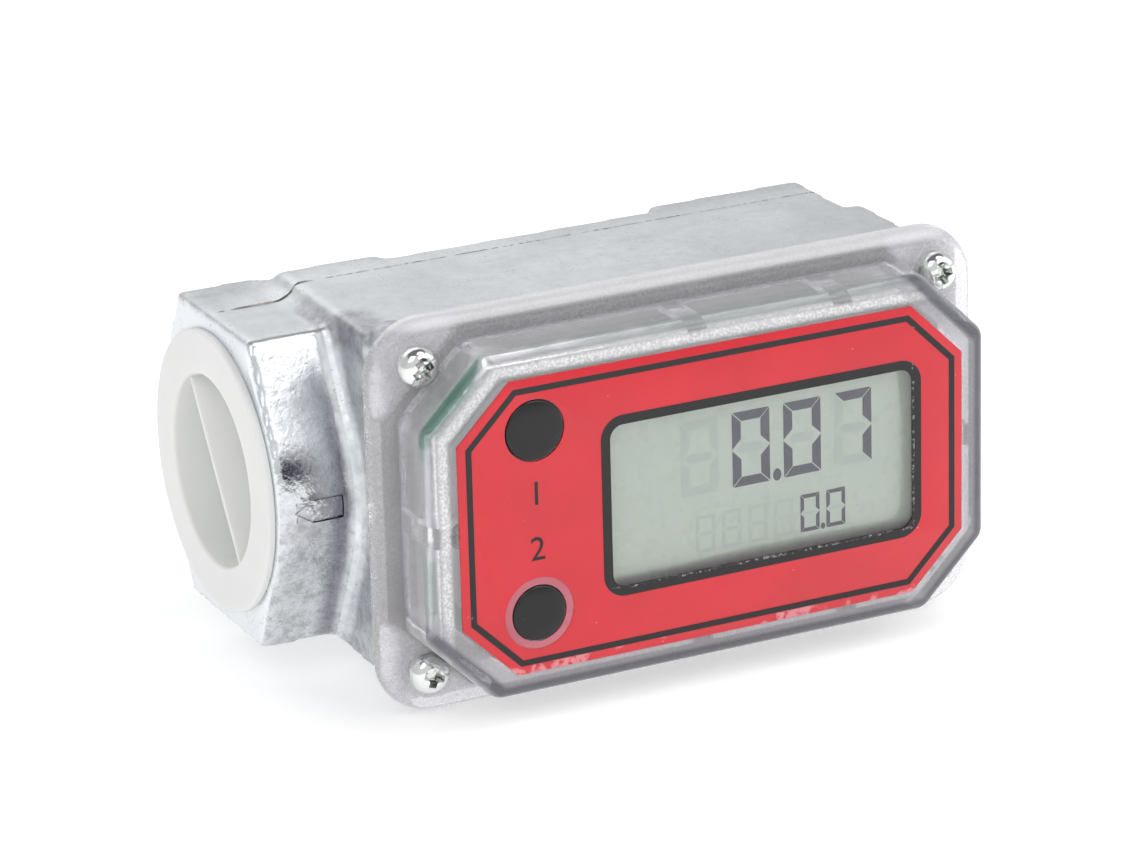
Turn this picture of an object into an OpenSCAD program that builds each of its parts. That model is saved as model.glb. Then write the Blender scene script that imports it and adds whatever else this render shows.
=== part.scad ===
// Digital fuel flow meter: an aluminium turbine housing with a battery powered display.
// Fuel enters on the right (+X), spins a bladed wheel and leaves on the left through the
// port that a plastic shipping plug closes. A clear cover with a printed label, an LCD and
// two push buttons is screwed to the front (-Y).
// The origin lies on the flow axis, in the mouth of the inlet port. +Z is up.

/* [Housing] */
// Thickness of the metal between the batteries' pocket and the turbine's bore
pocket_floor = 4.3; // [3.6:0.1:7]
// Distance of the casting's flats inside the cover's top and bottom edges
body_drop = 4.2; // [3.4:0.1:5]
// Distance of the body's end walls inside the ends of the plate
body_inset = 1.5; // [1:0.1:2]
// Step from the right end of the body to its narrower rear half
shoulder_step = 2.7; // [1:0.1:3.5]
// Distance from the flow axis forward to the end of the body's wide front half
shoulder_ahead = 6.8; // [5.5:0.1:9]
// Distance from the flow axis back to where the flat top turns down to the barrel
flat_behind = 5.3; // [4:0.1:6.6]
// Distance from the middle to the inner end of the outlet's collar
outlet_collar_end = 27; // [24:0.5:32]
// Distance from the middle to the inner end of the inlet's collar
inlet_collar_end = 16; // [14:0.5:24]
// Extra depth of the flats over the threaded ends
collar_step = 2.2; // [1:0.2:3]
// Radius of the barrel round the flow axis
barrel_r = 20.2; // [18.6:0.1:21.2]
// Radius of the barrel over the threaded ends
collar_r = 22.4; // [22:0.1:23]
// Thickness of the plate that the cover is screwed to
plate_t = 3; // [2.4:0.2:4]
// Distance of the plate's edge inside the cover's edge
plate_inset = 2.1; // [1.6:0.1:2.4]
// Radius of the plate's corners
plate_r = 6; // [3:0.5:8]

/* [Ports] */
// Length of the outlet's wrench section
port_len = 12.6; // [10:0.2:16]
// Length of the inlet's end past the body
inlet_len = 3; // [1:0.2:6]
// Height over the flats of the outlet's wrench section
port_h = 45.2; // [44:0.2:47]
// Width of the flats of the outlet's wrench section
port_flat_w = 25.4; // [22:0.2:28]
// Radius of the outlet's rounded sides
port_r = 21.4; // [20.6:0.1:21.8]
// Radius of the inlet's round end
inlet_end_r = 20; // [18.4:0.1:20.6]
// Radius of the bore that the pipe thread is cut to
thread_r = 15.15; // [14.8:0.05:15.6]
// Length of the threaded bore
thread_len = 18; // [15:0.5:19]
// Thickness of the raised collar at the outlet's root
root_t = 1.8; // [1:0.2:2.4]
// Height of that collar over the outlet's section
root_rise = 0.9; // [0.4:0.1:1.2]

/* [Turbine] */
// Radius of the bore that holds the two stators
stator_bore_r = 13.5; // [13.2:0.1:14]
// Radius of the narrower chamber that the rotor turns in
chamber_r = 12.8; // [12.4:0.1:13]
// Length of the rotor's chamber
chamber_len = 18; // [16:0.5:20]
// Radius of the rotor over its blades
rotor_r = 12.2; // [11:0.1:12.3]
// Number of rotor blades
blade_count = 8; // [4:1:10]
// Thickness of a rotor blade
blade_t = 1; // [0.8:0.1:1.4]
// Angle between a rotor blade and the flow
blade_angle = 35; // [20:1:45]
// Radius of the rotor's hub
hub_r = 5.2; // [4.8:0.1:6]
// Length of the rotor's hub
hub_len = 11; // [9:0.5:13]
// Radius of the rotor's shaft
shaft_r = 1.2; // [1:0.05:1.4]
// Radial running gap between the shaft and its bearings
shaft_gap = 0.04; // [0.02:0.01:0.08]
// Radius of a bearing bush
bush_r = 2.6; // [2.2:0.1:3]
// Length of a bearing bush
bush_len = 5; // [3:0.5:6]
// Length of a stator
stator_len = 12; // [10:0.5:13]
// Thickness of a stator's outer ring
stator_wall = 1.2; // [1:0.1:1.6]
// Number of stator vanes
vane_count = 6; // [3:1:8]
// Thickness of a stator vane
vane_t = 1.1; // [0.8:0.1:1.4]
// Thickness of a retaining ring
ring_t = 1.2; // [0.8:0.1:1.6]
// Radial width of a retaining ring
ring_w = 2.2; // [1.6:0.1:2.6]
// Depth of the groove that a retaining ring snaps into
ring_groove = 0.8; // [0.5:0.1:1]
// Opening between the ends of a retaining ring, as an angle
ring_gap_angle = 50; // [30:5:80]
// Radius of a rotor magnet
magnet_r = 1.2; // [1:0.1:1.3]
// Length of a rotor magnet
magnet_len = 4; // [3:0.5:5]

/* [Cover] */
// Height of the cover's middle above the flow axis
cover_rise = 0.6; // [0:0.1:0.8]
// Width of the flange beside the raised front
flange_side = 4.3; // [3.6:0.1:5]
// Height of the flange above and below the raised front
flange_top = 4.7; // [4.2:0.1:5.4]
// Radius of the flange's corners
cover_r = 7.5; // [5:0.5:9]
// Thickness of the cover's flange
flange_t = 3; // [2.4:0.2:3.4]
// Depth of the flange's front behind the face of the label
flange_depth = 9.3; // [9:0.1:10.5]
// Height of the raised front past the glass, above and below together
raised_past_h = 17.6; // [16.6:0.2:19]
// Length that the raised front's corners are cut back
raised_cut = 9.3; // [8.6:0.1:10]
// Thickness of the cover's front and side walls
cover_wall = 2.2; // [1.8:0.1:2.4]
// Width of a rib inside the cover's side walls
rib_w = 3; // [2:0.2:4]
// Distance that a rib stands in from the wall
rib_reach = 1; // [0.5:0.1:1.2]
// Distance of the long walls' left ribs to the left of the middle
rib_left = 1.5; // [0.5:0.5:4]
// Distance of the long walls' right ribs to the right of the middle
rib_right = 21; // [18:0.5:24]
// Distance of the cover screws from the cover's edges
screw_in = 6.8; // [6.4:0.1:7]

/* [Cover screws] */
// Radius of a cover screw's head
screw_head_r = 2.9; // [2.4:0.1:3]
// Height of a cover screw's head
screw_head_h = 2.3; // [1.8:0.1:2.6]
// Radius of a cover screw's shank
screw_r = 1.9; // [1.4:0.1:2]
// Length of a cover screw under its head
screw_len = 8.6; // [7:0.2:9]
// Width of a slot of the cross recess
recess_w = 0.9; // [0.6:0.1:1.2]
// Length of a slot of the cross recess
recess_len = 3.4; // [2.6:0.2:4]
// Depth of the cross recess
recess_t = 1.3; // [0.8:0.1:1.5]
// Wall round a cover screw in the casting
boss_wall = 2.2; // [1.6:0.1:2.4]

/* [Label] */
// Thickness of the label
label_t = 0.3; // [0.2:0.05:0.5]
// Distance of the label's ends inside the raised front's ends
label_inset_w = 3.7; // [2.6:0.1:4.4]
// Distance of the label inside the raised front's top and bottom
label_inset_h = 3.1; // [2.4:0.1:3.8]
// Length that the label's corners are cut back
label_cut = 8; // [6.5:0.1:8.8]
// Distance of the window's ends inside the glass's ends
window_inset_w = 2.5; // [1.5:0.1:4]
// Distance of the window inside the glass's top and bottom
window_inset_h = 3.7; // [3:0.1:4.6]
// Radius of the window's corners
window_r = 2; // [1:0.1:3]
// Gap between the frame of the glass and the right post
post_clear = 0.35; // [0.2:0.05:0.8]
// Distance of the display above the middle
window_z = 0.4; // [-0.5:0.1:1]

/* [Buttons] */
// Distance of the buttons' middle from the left end of the raised front
button_side = 15.2; // [14.4:0.1:17]
// Distance of the buttons from the frame of the glass
button_clear = 2.05; // [1:0.05:3]
// Distance of the display button below the top of the raised front
display_down = 10.6; // [9.4:0.1:12]
// Distance of the calibrate button above the bottom of the raised front
calibrate_up = 11.6; // [9.4:0.1:12]
// Radius of the display button
display_r = 4.5; // [4:0.1:4.6]
// Radius of the calibrate button
calibrate_r = 4.2; // [3.8:0.1:4.6]
// Radius of the label's hole round the calibrate button
calibrate_ring_r = 5.4; // [4.8:0.1:5.6]
// Height of a button over the label
button_proud = 0.4; // [0.2:0.1:0.8]
// Way that a button is pressed in
button_travel = 0.6; // [0.3:0.1:0.8]
// Gap round a button in the cover
button_gap = 0.15; // [0.1:0.05:0.3]
// Width of the rim that keeps a button in the cover
button_rim_w = 0.9; // [0.6:0.1:0.95]
// Thickness of that rim
button_rim_t = 0.7; // [0.5:0.1:0.8]
// Width of a switch under a button
switch_w = 6.2; // [5:0.2:7]
// Height of a switch above the board
switch_h = 2; // [1.8:0.1:2.2]
// Radius of a switch's plunger
plunger_r = 1.7; // [1.4:0.1:2]
// Length of a plunger inside its switch
plunger_in = 0.8; // [0.6:0.1:1]

/* [Display] */
// Gap behind the cover's front wall
display_gap = 0.3; // [0.2:0.05:0.4]
// Width of the LCD's glass
glass_w = 52; // [51:0.2:52.4]
// Height of the LCD's glass
glass_h = 31; // [30:0.2:32]
// Thickness of the LCD's glass
glass_t = 2; // [1.6:0.1:2.2]
// Thickness of the reflector behind the glass
reflector_t = 0.3; // [0.2:0.05:0.4]
// Width of a contact strip between the glass and the board
strip_w = 1.8; // [1.4:0.1:2.2]
// Thickness of the wall of the frame that holds the glass
frame_wall = 1.2; // [0.8:0.1:1.4]
// Height of a large digit
digit_h = 12; // [10:0.2:12.4]
// Width of a large digit
digit_w = 5.9; // [5:0.1:6.4]
// Pitch of the large digits
digit_pitch = 8; // [7.6:0.1:8.4]
// Width of a segment of a large digit
digit_stroke = 1.2; // [0.9:0.1:1.4]
// Size of the small digits, as a share of the large ones
small_digit_share = 0.49; // [0.4:0.01:0.55]
// Thickness of the dark segments
segment_t = 0.08; // [0.05:0.01:0.12]

/* [Board] */
// Depth of the board's front behind the face of the label
board_depth = 6.4; // [6.2:0.1:6.8]
// Thickness of the board
board_t = 1.6; // [1.2:0.1:1.8]
// Gap between the board's edge and the ribs of the cover
board_gap = 0.3; // [0.2:0.05:0.6]
// Radius of a board screw's shank
board_screw_r = 0.9; // [0.7:0.1:1]
// Radius of a board screw's head
board_head_r = 1.8; // [1.4:0.1:2]
// Height of a board screw's head
board_head_h = 1.1; // [0.8:0.1:1.3]
// Length of a board screw under its head
board_screw_len = 4.2; // [3:0.2:4.6]
// Radius of a post of the cover that the board is screwed to
post_r = 2; // [1.8:0.1:2.4]
// Distance of the posts from the cover's inner wall
post_inset = 3.3; // [3.1:0.1:3.5]
// Width of the processor chip
chip_w = 10; // [7:0.5:12]
// Thickness of the processor chip
chip_t = 1.5; // [1:0.1:2]

/* [Batteries] */
// Radius of a battery
battery_r = 5.25; // [5:0.05:5.25]
// Length of a battery without its cap
battery_len = 43.7; // [42:0.1:44]
// Length of a battery's cap
cap_len = 0.8; // [0.6:0.1:1]
// Radius of a battery's cap
cap_r = 1.9; // [1.5:0.1:2.2]
// Thickness of the battery holder's walls
holder_wall = 1.2; // [1:0.1:1.4]
// Gap round a battery in its holder
battery_gap = 0.15; // [0.1:0.05:0.3]
// Room at each end of a battery for its contact
contact_room = 1.6; // [1.2:0.1:2]
// Thickness of a contact
contact_t = 0.3; // [0.2:0.05:0.4]
// Depth of the pocket for the batteries in the casting
pocket_t = 13.2; // [13:0.1:13.4]
// Gap round the battery holder in its pocket
pocket_gap = 0.4; // [0.2:0.1:0.6]
// Radius of the flow pickup
pickup_r = 2.8; // [2.2:0.1:3]
// Depth that the flow pickup reaches into the casting
pickup_reach = 20; // [16:0.5:20.5]

/* [Plug] */
// Radius of the shipping plug's rim
plug_rim_r = 20.2; // [19:0.1:20.4]
// Thickness of the plug's rim
plug_rim_t = 1.2; // [0.8:0.1:2]
// Length of the plug inside the port
plug_len = 13; // [9:0.5:14]
// Radius of the plug's recess
plug_recess_r = 13.8; // [12:0.1:14.2]
// Thickness of the plug's bottom
plug_floor = 2; // [1.4:0.1:3]
// Thickness of the web that divides the recess, and is used as a grip
plug_web_t = 0.8; // [0.6:0.1:1.2]
// Angle of the web from upright
plug_web_angle = 33; // [0:1:60]
// Depth of the web's edge below the rim
plug_web_sink = 0.6; // [0.2:0.1:2]
// Gap round the plug in the port
plug_gap = 0.08; // [0.05:0.01:0.1]

/* [Gasket] */
// Thickness of the cover's gasket
gasket_t = 1; // [0.8:0.1:1.2]
// Distance that the gasket reaches past the sides of the raised front
gasket_reach = 1.8; // [0.8:0.1:2.2]
// Distance that it reaches past the corners of the raised front
gasket_corner_reach = 0.9; // [0.4:0.1:1]
// Gap round the gasket in its groove
gasket_gap = 0.1; // [0.05:0.05:0.15]

/* [Hidden] */
$fn = 64;
// Overrun of a cut through a face
over = 0.5;
// Gap that keeps a fixed piece just clear of its neighbour
slip = 0.05;

// Across the raised front, from its left end: the buttons, the glass in its frame and the
// right post. The cover grows with them, and the casting with the cover.
button_part_w = button_side + display_r + button_rim_w + button_clear;
frame_w = glass_w + 2 * (frame_wall + slip);
post_part_w = post_clear + post_r + post_inset + cover_wall;
raised_w = button_part_w + frame_w + post_part_w;
raised_h = glass_h + raised_past_h;
cover_w = raised_w + 2 * flange_side;
cover_h = raised_h + 2 * flange_top;
screw_x = cover_w / 2 - screw_in;
screw_z = cover_h / 2 - screw_in;
plate_w = cover_w - 2 * plate_inset;
plate_h = cover_h - 2 * plate_inset;
body_end = plate_w / 2 - body_inset;
body_h = cover_h - 2 * body_drop;
barrel_right = body_end - shoulder_step;
outlet_reach = body_end + port_len;
inlet_reach = body_end + inlet_len;

// The label and its window
label_w = raised_w - 2 * label_inset_w;
label_h = raised_h - 2 * label_inset_h;
window_w = glass_w - 2 * window_inset_w;
window_h = glass_h - 2 * window_inset_h;

// Depths behind the face of the label, from front to back
cover_front = label_t;
cover_inner = cover_front + cover_wall;
plate_depth = flange_depth + flange_t;
plate_back = plate_depth + plate_t;
board_back = board_depth + board_t;
glass_depth = cover_inner + display_gap;
glass_back = glass_depth + glass_t;
pocket_depth = plate_depth + pocket_t;
axis_depth = pocket_depth + pocket_floor + stator_bore_r;
shoulder_depth = axis_depth - shoulder_ahead;
collar_flat_y = flat_behind + collar_step;

// The cover's inner outline, and the board's outline inside it
inner_w = raised_w - 2 * cover_wall;
inner_h = raised_h - 2 * cover_wall;
inner_cut = raised_cut - cover_wall * (2 - sqrt(2));
board_w = inner_w - 2 * (rib_reach + board_gap);
board_h = inner_h - 2 * (rib_reach + board_gap);
board_cut = inner_cut - (rib_reach + board_gap) * (2 - sqrt(2));

// Places of the buttons, the display and the posts between the ends of the raised front
button_x = raised_w / 2 - button_side;
window_x = raised_w / 2 - post_part_w - frame_w / 2;
post_x = inner_w / 2 - post_inset;

// Buttons, switches and their plungers
display_z = raised_h / 2 - display_down;
calibrate_z = raised_h / 2 - calibrate_up;
button_rim_depth = cover_inner + slip;
plunger_top = button_rim_depth + button_rim_t;
switch_top = board_depth - switch_h;
plunger_end = switch_top + plunger_in;
well_end = plunger_end + button_travel + slip;

// Ends of the turbine's parts along the flow axis, on either side of the rotor
stator_in = chamber_len / 2;
stator_out = stator_in + stator_len;
bush_out = stator_in + stator_len / 2 + bush_len / 2;
bush_in = bush_out - bush_len;
shaft_len = 2 * bush_out - 2 * slip;
stator_hub_r = hub_r - 0.2 * bush_r;
stator_r = stator_bore_r - slip;
vane_inset = vane_t / 2;
magnet_at = (hub_r + shaft_r) / 2;

// The batteries in their holder, and the holder in its pocket
holder_w = battery_len + cap_len + 2 * (contact_room + holder_wall);
holder_h = 4 * (battery_r + battery_gap) + 3 * holder_wall;
holder_back = pocket_depth - slip;
battery_depth = holder_back - holder_wall - battery_r - slip;
battery_z = battery_r + battery_gap + holder_wall / 2;
holder_front = battery_depth - battery_r / 2;
pocket_w = holder_w + 2 * pocket_gap;
pocket_h = holder_h + 2 * pocket_gap;

// The flow pickup stands midway between the pocket and the cover's wall
pickup_z = (pocket_h + inner_h) / 4;

// Position along Y of a depth behind the face of the label
function y_of(depth) = depth - axis_depth;

// Point where the tangent from a corner touches a circle round the middle
function tangent_point(corner, r) =
    let (a = atan2(corner[1], corner[0]) - acos(r / norm(corner)))
    [r * cos(a), r * sin(a)];

// Everything is modelled from the middle of the cover, then moved to the origin
module in_frame() {
    translate([-inlet_reach, 0, 0]) children();
}

// A flat outline seen from the front, made solid between two depths. It lies round the
// middle of the cover, as do the bars and boxes of the next modules.
module from_front(depth_0, depth_1) {
    translate([0, y_of(depth_1), cover_rise]) rotate([90, 0, 0])
        linear_extrude(depth_1 - depth_0) children();
}

// A section across the flow, with Y to its right and Z up, made solid along the flow
module along_flow(x_0, x_1) {
    translate([x_0, 0, 0]) rotate([90, 0, 90]) linear_extrude(x_1 - x_0) children();
}

// A round bar along the flow axis
module flow_rod(r, x_0, x_1) {
    translate([x_0, 0, 0]) rotate([0, 90, 0]) cylinder(r = r, h = x_1 - x_0);
}

// A round bar from front to back
module deep_rod(r, depth_0, depth_1) {
    translate([0, y_of(depth_0), cover_rise]) rotate([-90, 0, 0])
        cylinder(r = r, h = depth_1 - depth_0);
}

// A box seen from the front, between two depths, round the middle
module front_box(w, h, depth_0, depth_1) {
    translate([-w / 2, y_of(depth_0), cover_rise - h / 2]) cube([w, depth_1 - depth_0, h]);
}

// A rounded box seen from the front, between two depths
module rounded_box(w, h, r, depth_0, depth_1) {
    front_box(w - 2 * r, h, depth_0, depth_1);
    front_box(w, h - 2 * r, depth_0, depth_1);
    for (sx = [-1, 1], sz = [-1, 1])
        translate([sx * (w / 2 - r), 0, sz * (h / 2 - r)]) deep_rod(r, depth_0, depth_1);
}

// An eight-sided outline: a rectangle with its corners cut back
module cut_rectangle(w, h, cut) {
    x = w / 2;
    y = h / 2;
    polygon([
        [-x + cut, -y], [x - cut, -y], [x, -y + cut], [x, y - cut],
        [x - cut, y], [-x + cut, y], [-x, y - cut], [-x, -y + cut]
    ]);
}

// A section with flats above and below and a round side: tangents join both. They touch
// a circle that is a little smaller, so that their ends lie inside the round side.
module flat_topped_side(flat_y, half_h, r) {
    touch = tangent_point([flat_y, half_h], r - slip);
    polygon([[0, -half_h], [flat_y, -half_h], [touch[0], -touch[1]], touch,
        [flat_y, half_h], [0, half_h]]);
}

// The wrench section of the outlet: flats above and below, round in front and behind
module port_body(half_flat, half_h, r, x_0, x_1) {
    along_flow(x_0, x_1) {
        flat_topped_side(half_flat, half_h, r);
        mirror([1, 0]) flat_topped_side(half_flat, half_h, r);
    }
    flow_rod(r, x_0, x_1);
}

// The gasket's ring, made larger all round by a gap. Its corners stay clear of the screws.
module gasket_ring(gap, depth_0, depth_1) {
    side = gasket_reach + gap;
    corner = gasket_corner_reach + gap;
    difference() {
        from_front(depth_0, depth_1) cut_rectangle(raised_w + 2 * side, raised_h + 2 * side,
            raised_cut + 2 * side - corner * sqrt(2));
        from_front(depth_0 - over, depth_1 + over)
            cut_rectangle(inner_w - 2 * gap, inner_h - 2 * gap, inner_cut - gap * (2 - sqrt(2)));
    }
}

// The four places of the cover screws
module at_cover_screws() {
    for (sx = [-1, 1], sz = [-1, 1]) translate([sx * screw_x, 0, sz * screw_z]) children();
}

// The two places of the board screws
module at_board_screws() {
    for (sx = [-1, 1]) translate([sx * post_x, 0, 0]) children();
}

// The raised arrow on the outlet that shows the way of the flow
arrow_len = 7;
arrow_h = 3.2;
arrow_rise = 0.4;
arrow_head_share = 0.35;
arrow_x = -(outlet_reach + body_end) / 2;
module flow_arrow() {
    head = arrow_len * arrow_head_share;
    translate([arrow_x, -port_r - arrow_rise, 0])
        rotate([-90, 0, 0]) linear_extrude(2 * arrow_rise + slip) polygon([
            [-arrow_len / 2, 0], [-arrow_len / 2 + head, -arrow_h / 2],
            [arrow_len / 2, -arrow_h / 2], [arrow_len / 2, arrow_h / 2],
            [-arrow_len / 2 + head, arrow_h / 2]
        ]);
}

// Outside of the casting, before its bores and pockets are cut
module casting_outside() {
    half_h = body_h / 2;
    rounded_box(plate_w, plate_h, plate_r, plate_depth, plate_back);
    translate([-body_end, y_of(plate_back - over), -half_h])
        cube([2 * body_end, shoulder_depth - plate_back + over, body_h]);
    translate([-body_end, y_of(shoulder_depth - over), -half_h])
        cube([body_end + barrel_right, axis_depth - shoulder_depth + over, body_h]);
    along_flow(-body_end, barrel_right) flat_topped_side(flat_behind, half_h, barrel_r);
    flow_rod(barrel_r, -body_end, barrel_right);
    for (end = [[-body_end, -outlet_collar_end], [inlet_collar_end, barrel_right]]) {
        along_flow(end[0], end[1]) flat_topped_side(collar_flat_y, half_h, collar_r);
        flow_rod(collar_r, end[0], end[1]);
    }
    port_body(port_flat_w / 2, port_h / 2, port_r, -outlet_reach, over - body_end);
    port_body(port_flat_w / 2 + root_rise, port_h / 2 + root_rise, port_r + root_rise,
        -body_end - root_t, over - body_end);
    flow_rod(inlet_end_r, barrel_right - over, inlet_reach);
    at_cover_screws() deep_rod(screw_r + boss_wall, plate_depth,
        flange_depth + screw_len + boss_wall / 2);
    flow_arrow();
}

module turbine_housing() color([0.75, 0.76, 0.78]) difference() {
    casting_outside();
    // Threaded bores, the stators' bore and the rotor's chamber
    flow_rod(thread_r, -outlet_reach - over, thread_len - outlet_reach);
    flow_rod(thread_r, inlet_reach - thread_len, inlet_reach + over);
    flow_rod(stator_bore_r, thread_len - outlet_reach - over, -stator_in);
    flow_rod(stator_bore_r, stator_in, inlet_reach - thread_len + over);
    flow_rod(chamber_r, -stator_in - over, stator_in + over);
    // Grooves of the retaining rings
    flow_rod(stator_bore_r + ring_groove, stator_out, stator_out + ring_t + slip);
    flow_rod(stator_bore_r + ring_groove, -stator_out - ring_t - slip, -stator_out);
    // Pocket for the batteries and well for the flow pickup
    front_box(pocket_w, pocket_h, plate_depth - over, pocket_depth);
    translate([0, 0, pickup_z])
        deep_rod(pickup_r + slip, plate_depth - over, plate_depth + pickup_reach + slip);
    // Groove of the gasket
    gasket_ring(gasket_gap, plate_depth - over, plate_depth + gasket_t);
    // Tapped holes of the cover screws
    at_cover_screws() deep_rod(screw_r, plate_depth - over, flange_depth + screw_len + slip);
}

module clear_cover() color([0.86, 0.86, 0.9, 0.45]) {
    difference() {
        union() {
            rounded_box(cover_w, cover_h, cover_r, flange_depth, plate_depth);
            from_front(cover_front, plate_depth - over)
                cut_rectangle(raised_w, raised_h, raised_cut);
        }
        difference() {
            from_front(cover_inner, plate_depth + over)
                cut_rectangle(inner_w, inner_h, inner_cut);
            at_board_screws() deep_rod(post_r, cover_inner - over, board_depth);
            // Ribs that centre the board: one in each end wall, two in each long wall
            for (sx = [-1, 1]) translate([sx * (inner_w - rib_reach) / 2, 0, 0])
                front_box(rib_reach + over, rib_w, cover_inner - over, plate_depth);
            for (x = [-rib_left, rib_right], sz = [-1, 1])
                translate([x, 0, sz * (inner_h - rib_reach) / 2])
                    front_box(rib_w, rib_reach + over, cover_inner - over, plate_depth);
        }
        at_cover_screws() deep_rod(screw_r + 2 * slip, flange_depth - over, plate_depth + over);
        at_board_screws()
            deep_rod(board_screw_r, board_back - board_screw_len - slip, plate_depth);
        translate([-button_x, 0, display_z])
            deep_rod(display_r + button_gap, cover_front - over, cover_inner + over);
        translate([-button_x, 0, -calibrate_z])
            deep_rod(calibrate_r + button_gap, cover_front - over, cover_inner + over);
    }
}

module face_label() color([0.9, 0.22, 0.3]) difference() {
    from_front(0, label_t) cut_rectangle(label_w, label_h, label_cut);
    translate([window_x, 0, window_z])
        rounded_box(window_w, window_h, window_r, -over, label_t + over);
    translate([-button_x, 0, display_z])
        deep_rod(display_r + button_gap, -over, label_t + over);
    translate([-button_x, 0, -calibrate_z]) deep_rod(calibrate_ring_r, -over, label_t + over);
}

module cover_gasket() color([0.2, 0.2, 0.2])
    gasket_ring(0, plate_depth, plate_depth + gasket_t);

// A pan head screw with a cross recess: its head's underside lies at the given depth
module pan_screw(depth, head_r, head_h, shank_r, len) {
    sphere_r = (head_r * head_r + head_h * head_h) / (2 * head_h);
    difference() {
        union() {
            intersection() {
                translate([0, y_of(depth - head_h + sphere_r), cover_rise])
                    sphere(r = sphere_r);
                deep_rod(head_r, depth - head_h - over, depth);
            }
            deep_rod(shank_r, depth - over, depth + len);
        }
        for (w = [recess_w, recess_len])
            front_box(w, recess_w + recess_len - w, depth - head_h - over,
                depth - head_h + recess_t);
    }
}

module cover_screws() color([0.83, 0.84, 0.82])
    at_cover_screws() pan_screw(flange_depth, screw_head_r, screw_head_h, screw_r, screw_len);

// The display sits to the right of the middle
module at_window() {
    translate([window_x, 0, window_z]) children();
}

module lcd_glass() color([0.74, 0.79, 0.73, 0.6])
    at_window() front_box(glass_w, glass_h, glass_depth, glass_back);

module lcd_reflector() color([0.72, 0.77, 0.72])
    at_window() front_box(glass_w - 2 * strip_w, glass_h - 4 * strip_w, glass_back,
        glass_back + reflector_t);

// The seven segments of a digit: across at the top, middle and bottom, and four upright
digit_segments = [
    ["top", "upper_left", "upper_right", "lower_left", "lower_right", "bottom"],
    [], [], [], [], [], [],
    ["top", "upper_right", "lower_right"]
];
module segment(name, w, h, stroke) {
    gap = stroke / 8;
    half = h / 2 - stroke / 2;
    across = name == "top" ? half : name == "bottom" ? -half : 0;
    side = name == "upper_left" || name == "lower_left" ? -1 : 1;
    level = name == "upper_left" || name == "upper_right" ? 1 : -1;
    if (name == "top" || name == "bottom" || name == "middle")
        translate([0, across]) polygon([
            [-w / 2 + stroke / 2 + gap, 0], [-w / 2 + stroke + gap, -stroke / 2],
            [w / 2 - stroke - gap, -stroke / 2], [w / 2 - stroke / 2 - gap, 0],
            [w / 2 - stroke - gap, stroke / 2], [-w / 2 + stroke + gap, stroke / 2]
        ]);
    else
        translate([side * (w / 2 - stroke / 2), level * half / 2]) polygon([
            [0, -half / 2 + gap], [stroke / 2, -half / 2 + stroke / 2 + gap],
            [stroke / 2, half / 2 - stroke / 2 - gap], [0, half / 2 - gap],
            [-stroke / 2, half / 2 - stroke / 2 - gap],
            [-stroke / 2, -half / 2 + stroke / 2 + gap]
        ]);
}

// One digit, leaning a little to the right as LCD digits do
module digit(value, share) {
    for (name = digit_segments[value])
        segment(name, digit_w * share, digit_h * share, digit_stroke * share * 1.1);
}

// The digits that are shown, from right to left, and their places on the display
large_digits = [7, 0, 0];
small_digits = [0, 0];
large_digit_z_share = 0.2;
small_digit_z_share = -0.305;
last_digit_x_share = 0.34;
large_digit_z = large_digit_z_share * window_h;
small_digit_z = small_digit_z_share * window_h;
last_digit_x = last_digit_x_share * window_w;
small_digits_shift = digit_w;

// A number written from its last digit to the left, with a point after its first digit
module number(values, share, x, z) {
    pitch = digit_pitch * share;
    point = digit_stroke * share;
    count = len(values);
    for (i = [0:count - 1]) translate([x - i * pitch, z]) digit(values[i], share);
    translate([x - (count - 1.5) * pitch - point / 2, z - digit_h * share / 2]) square(point);
}

module lcd_segments() color([0.3, 0.32, 0.34]) at_window()
    from_front(glass_depth - segment_t, glass_depth) {
        number(large_digits, 1, last_digit_x, large_digit_z);
        number(small_digits, small_digit_share,
            last_digit_x - small_digits_shift, small_digit_z);
    }

module lcd_frame() color([0.12, 0.12, 0.13]) at_window() difference() {
    front_box(glass_w + 2 * (frame_wall + slip), glass_h + 2 * (frame_wall + slip),
        glass_depth, board_depth);
    front_box(glass_w + 2 * slip, glass_h + 2 * slip, glass_depth - over, board_depth + over);
}

module contact_strips() color([0.25, 0.25, 0.28]) at_window()
    for (sz = [-1, 1]) translate([0, 0, sz * (glass_h / 2 - strip_w)])
        front_box(glass_w - 2 * strip_w, strip_w, glass_back, board_depth);

module circuit_board() color([0.05, 0.42, 0.25]) difference() {
    from_front(board_depth, board_back) cut_rectangle(board_w, board_h, board_cut);
    at_board_screws() deep_rod(board_screw_r + slip, board_depth - over, board_back + over);
}

// Places on the back of the board, as shares of its half width and half height
chip_place_share = [-0.12, 0.05];
part_size = 3;
part_place_shares = [[-0.5, 0.3], [-0.5, -0.4], [0.35, 0.3], [0.35, -0.45], [0.62, 0.35],
    [0.62, -0.3]];
module processor_chip() color([0.1, 0.1, 0.11])
    translate([chip_place_share[0] * board_w / 2, 0, chip_place_share[1] * board_h / 2])
        front_box(chip_w, chip_w, board_back, board_back + chip_t);

module board_components() color([0.7, 0.62, 0.35]) {
    for (i = [0:len(part_place_shares) - 1]) {
        place = part_place_shares[i];
        translate([place[0] * board_w / 2, 0, place[1] * board_h / 2]) {
            if (i % 2 == 0)
                front_box(part_size, part_size * 0.6, board_back, board_back + part_size / 2);
            else
                deep_rod(part_size / 2, board_back, board_back + part_size * 0.9);
        }
    }
}

module board_screws() color([0.8, 0.8, 0.78]) at_board_screws() {
    deep_rod(board_head_r, board_back, board_back + board_head_h);
    deep_rod(board_screw_r, board_back - board_screw_len, board_back + slip);
}

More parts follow.
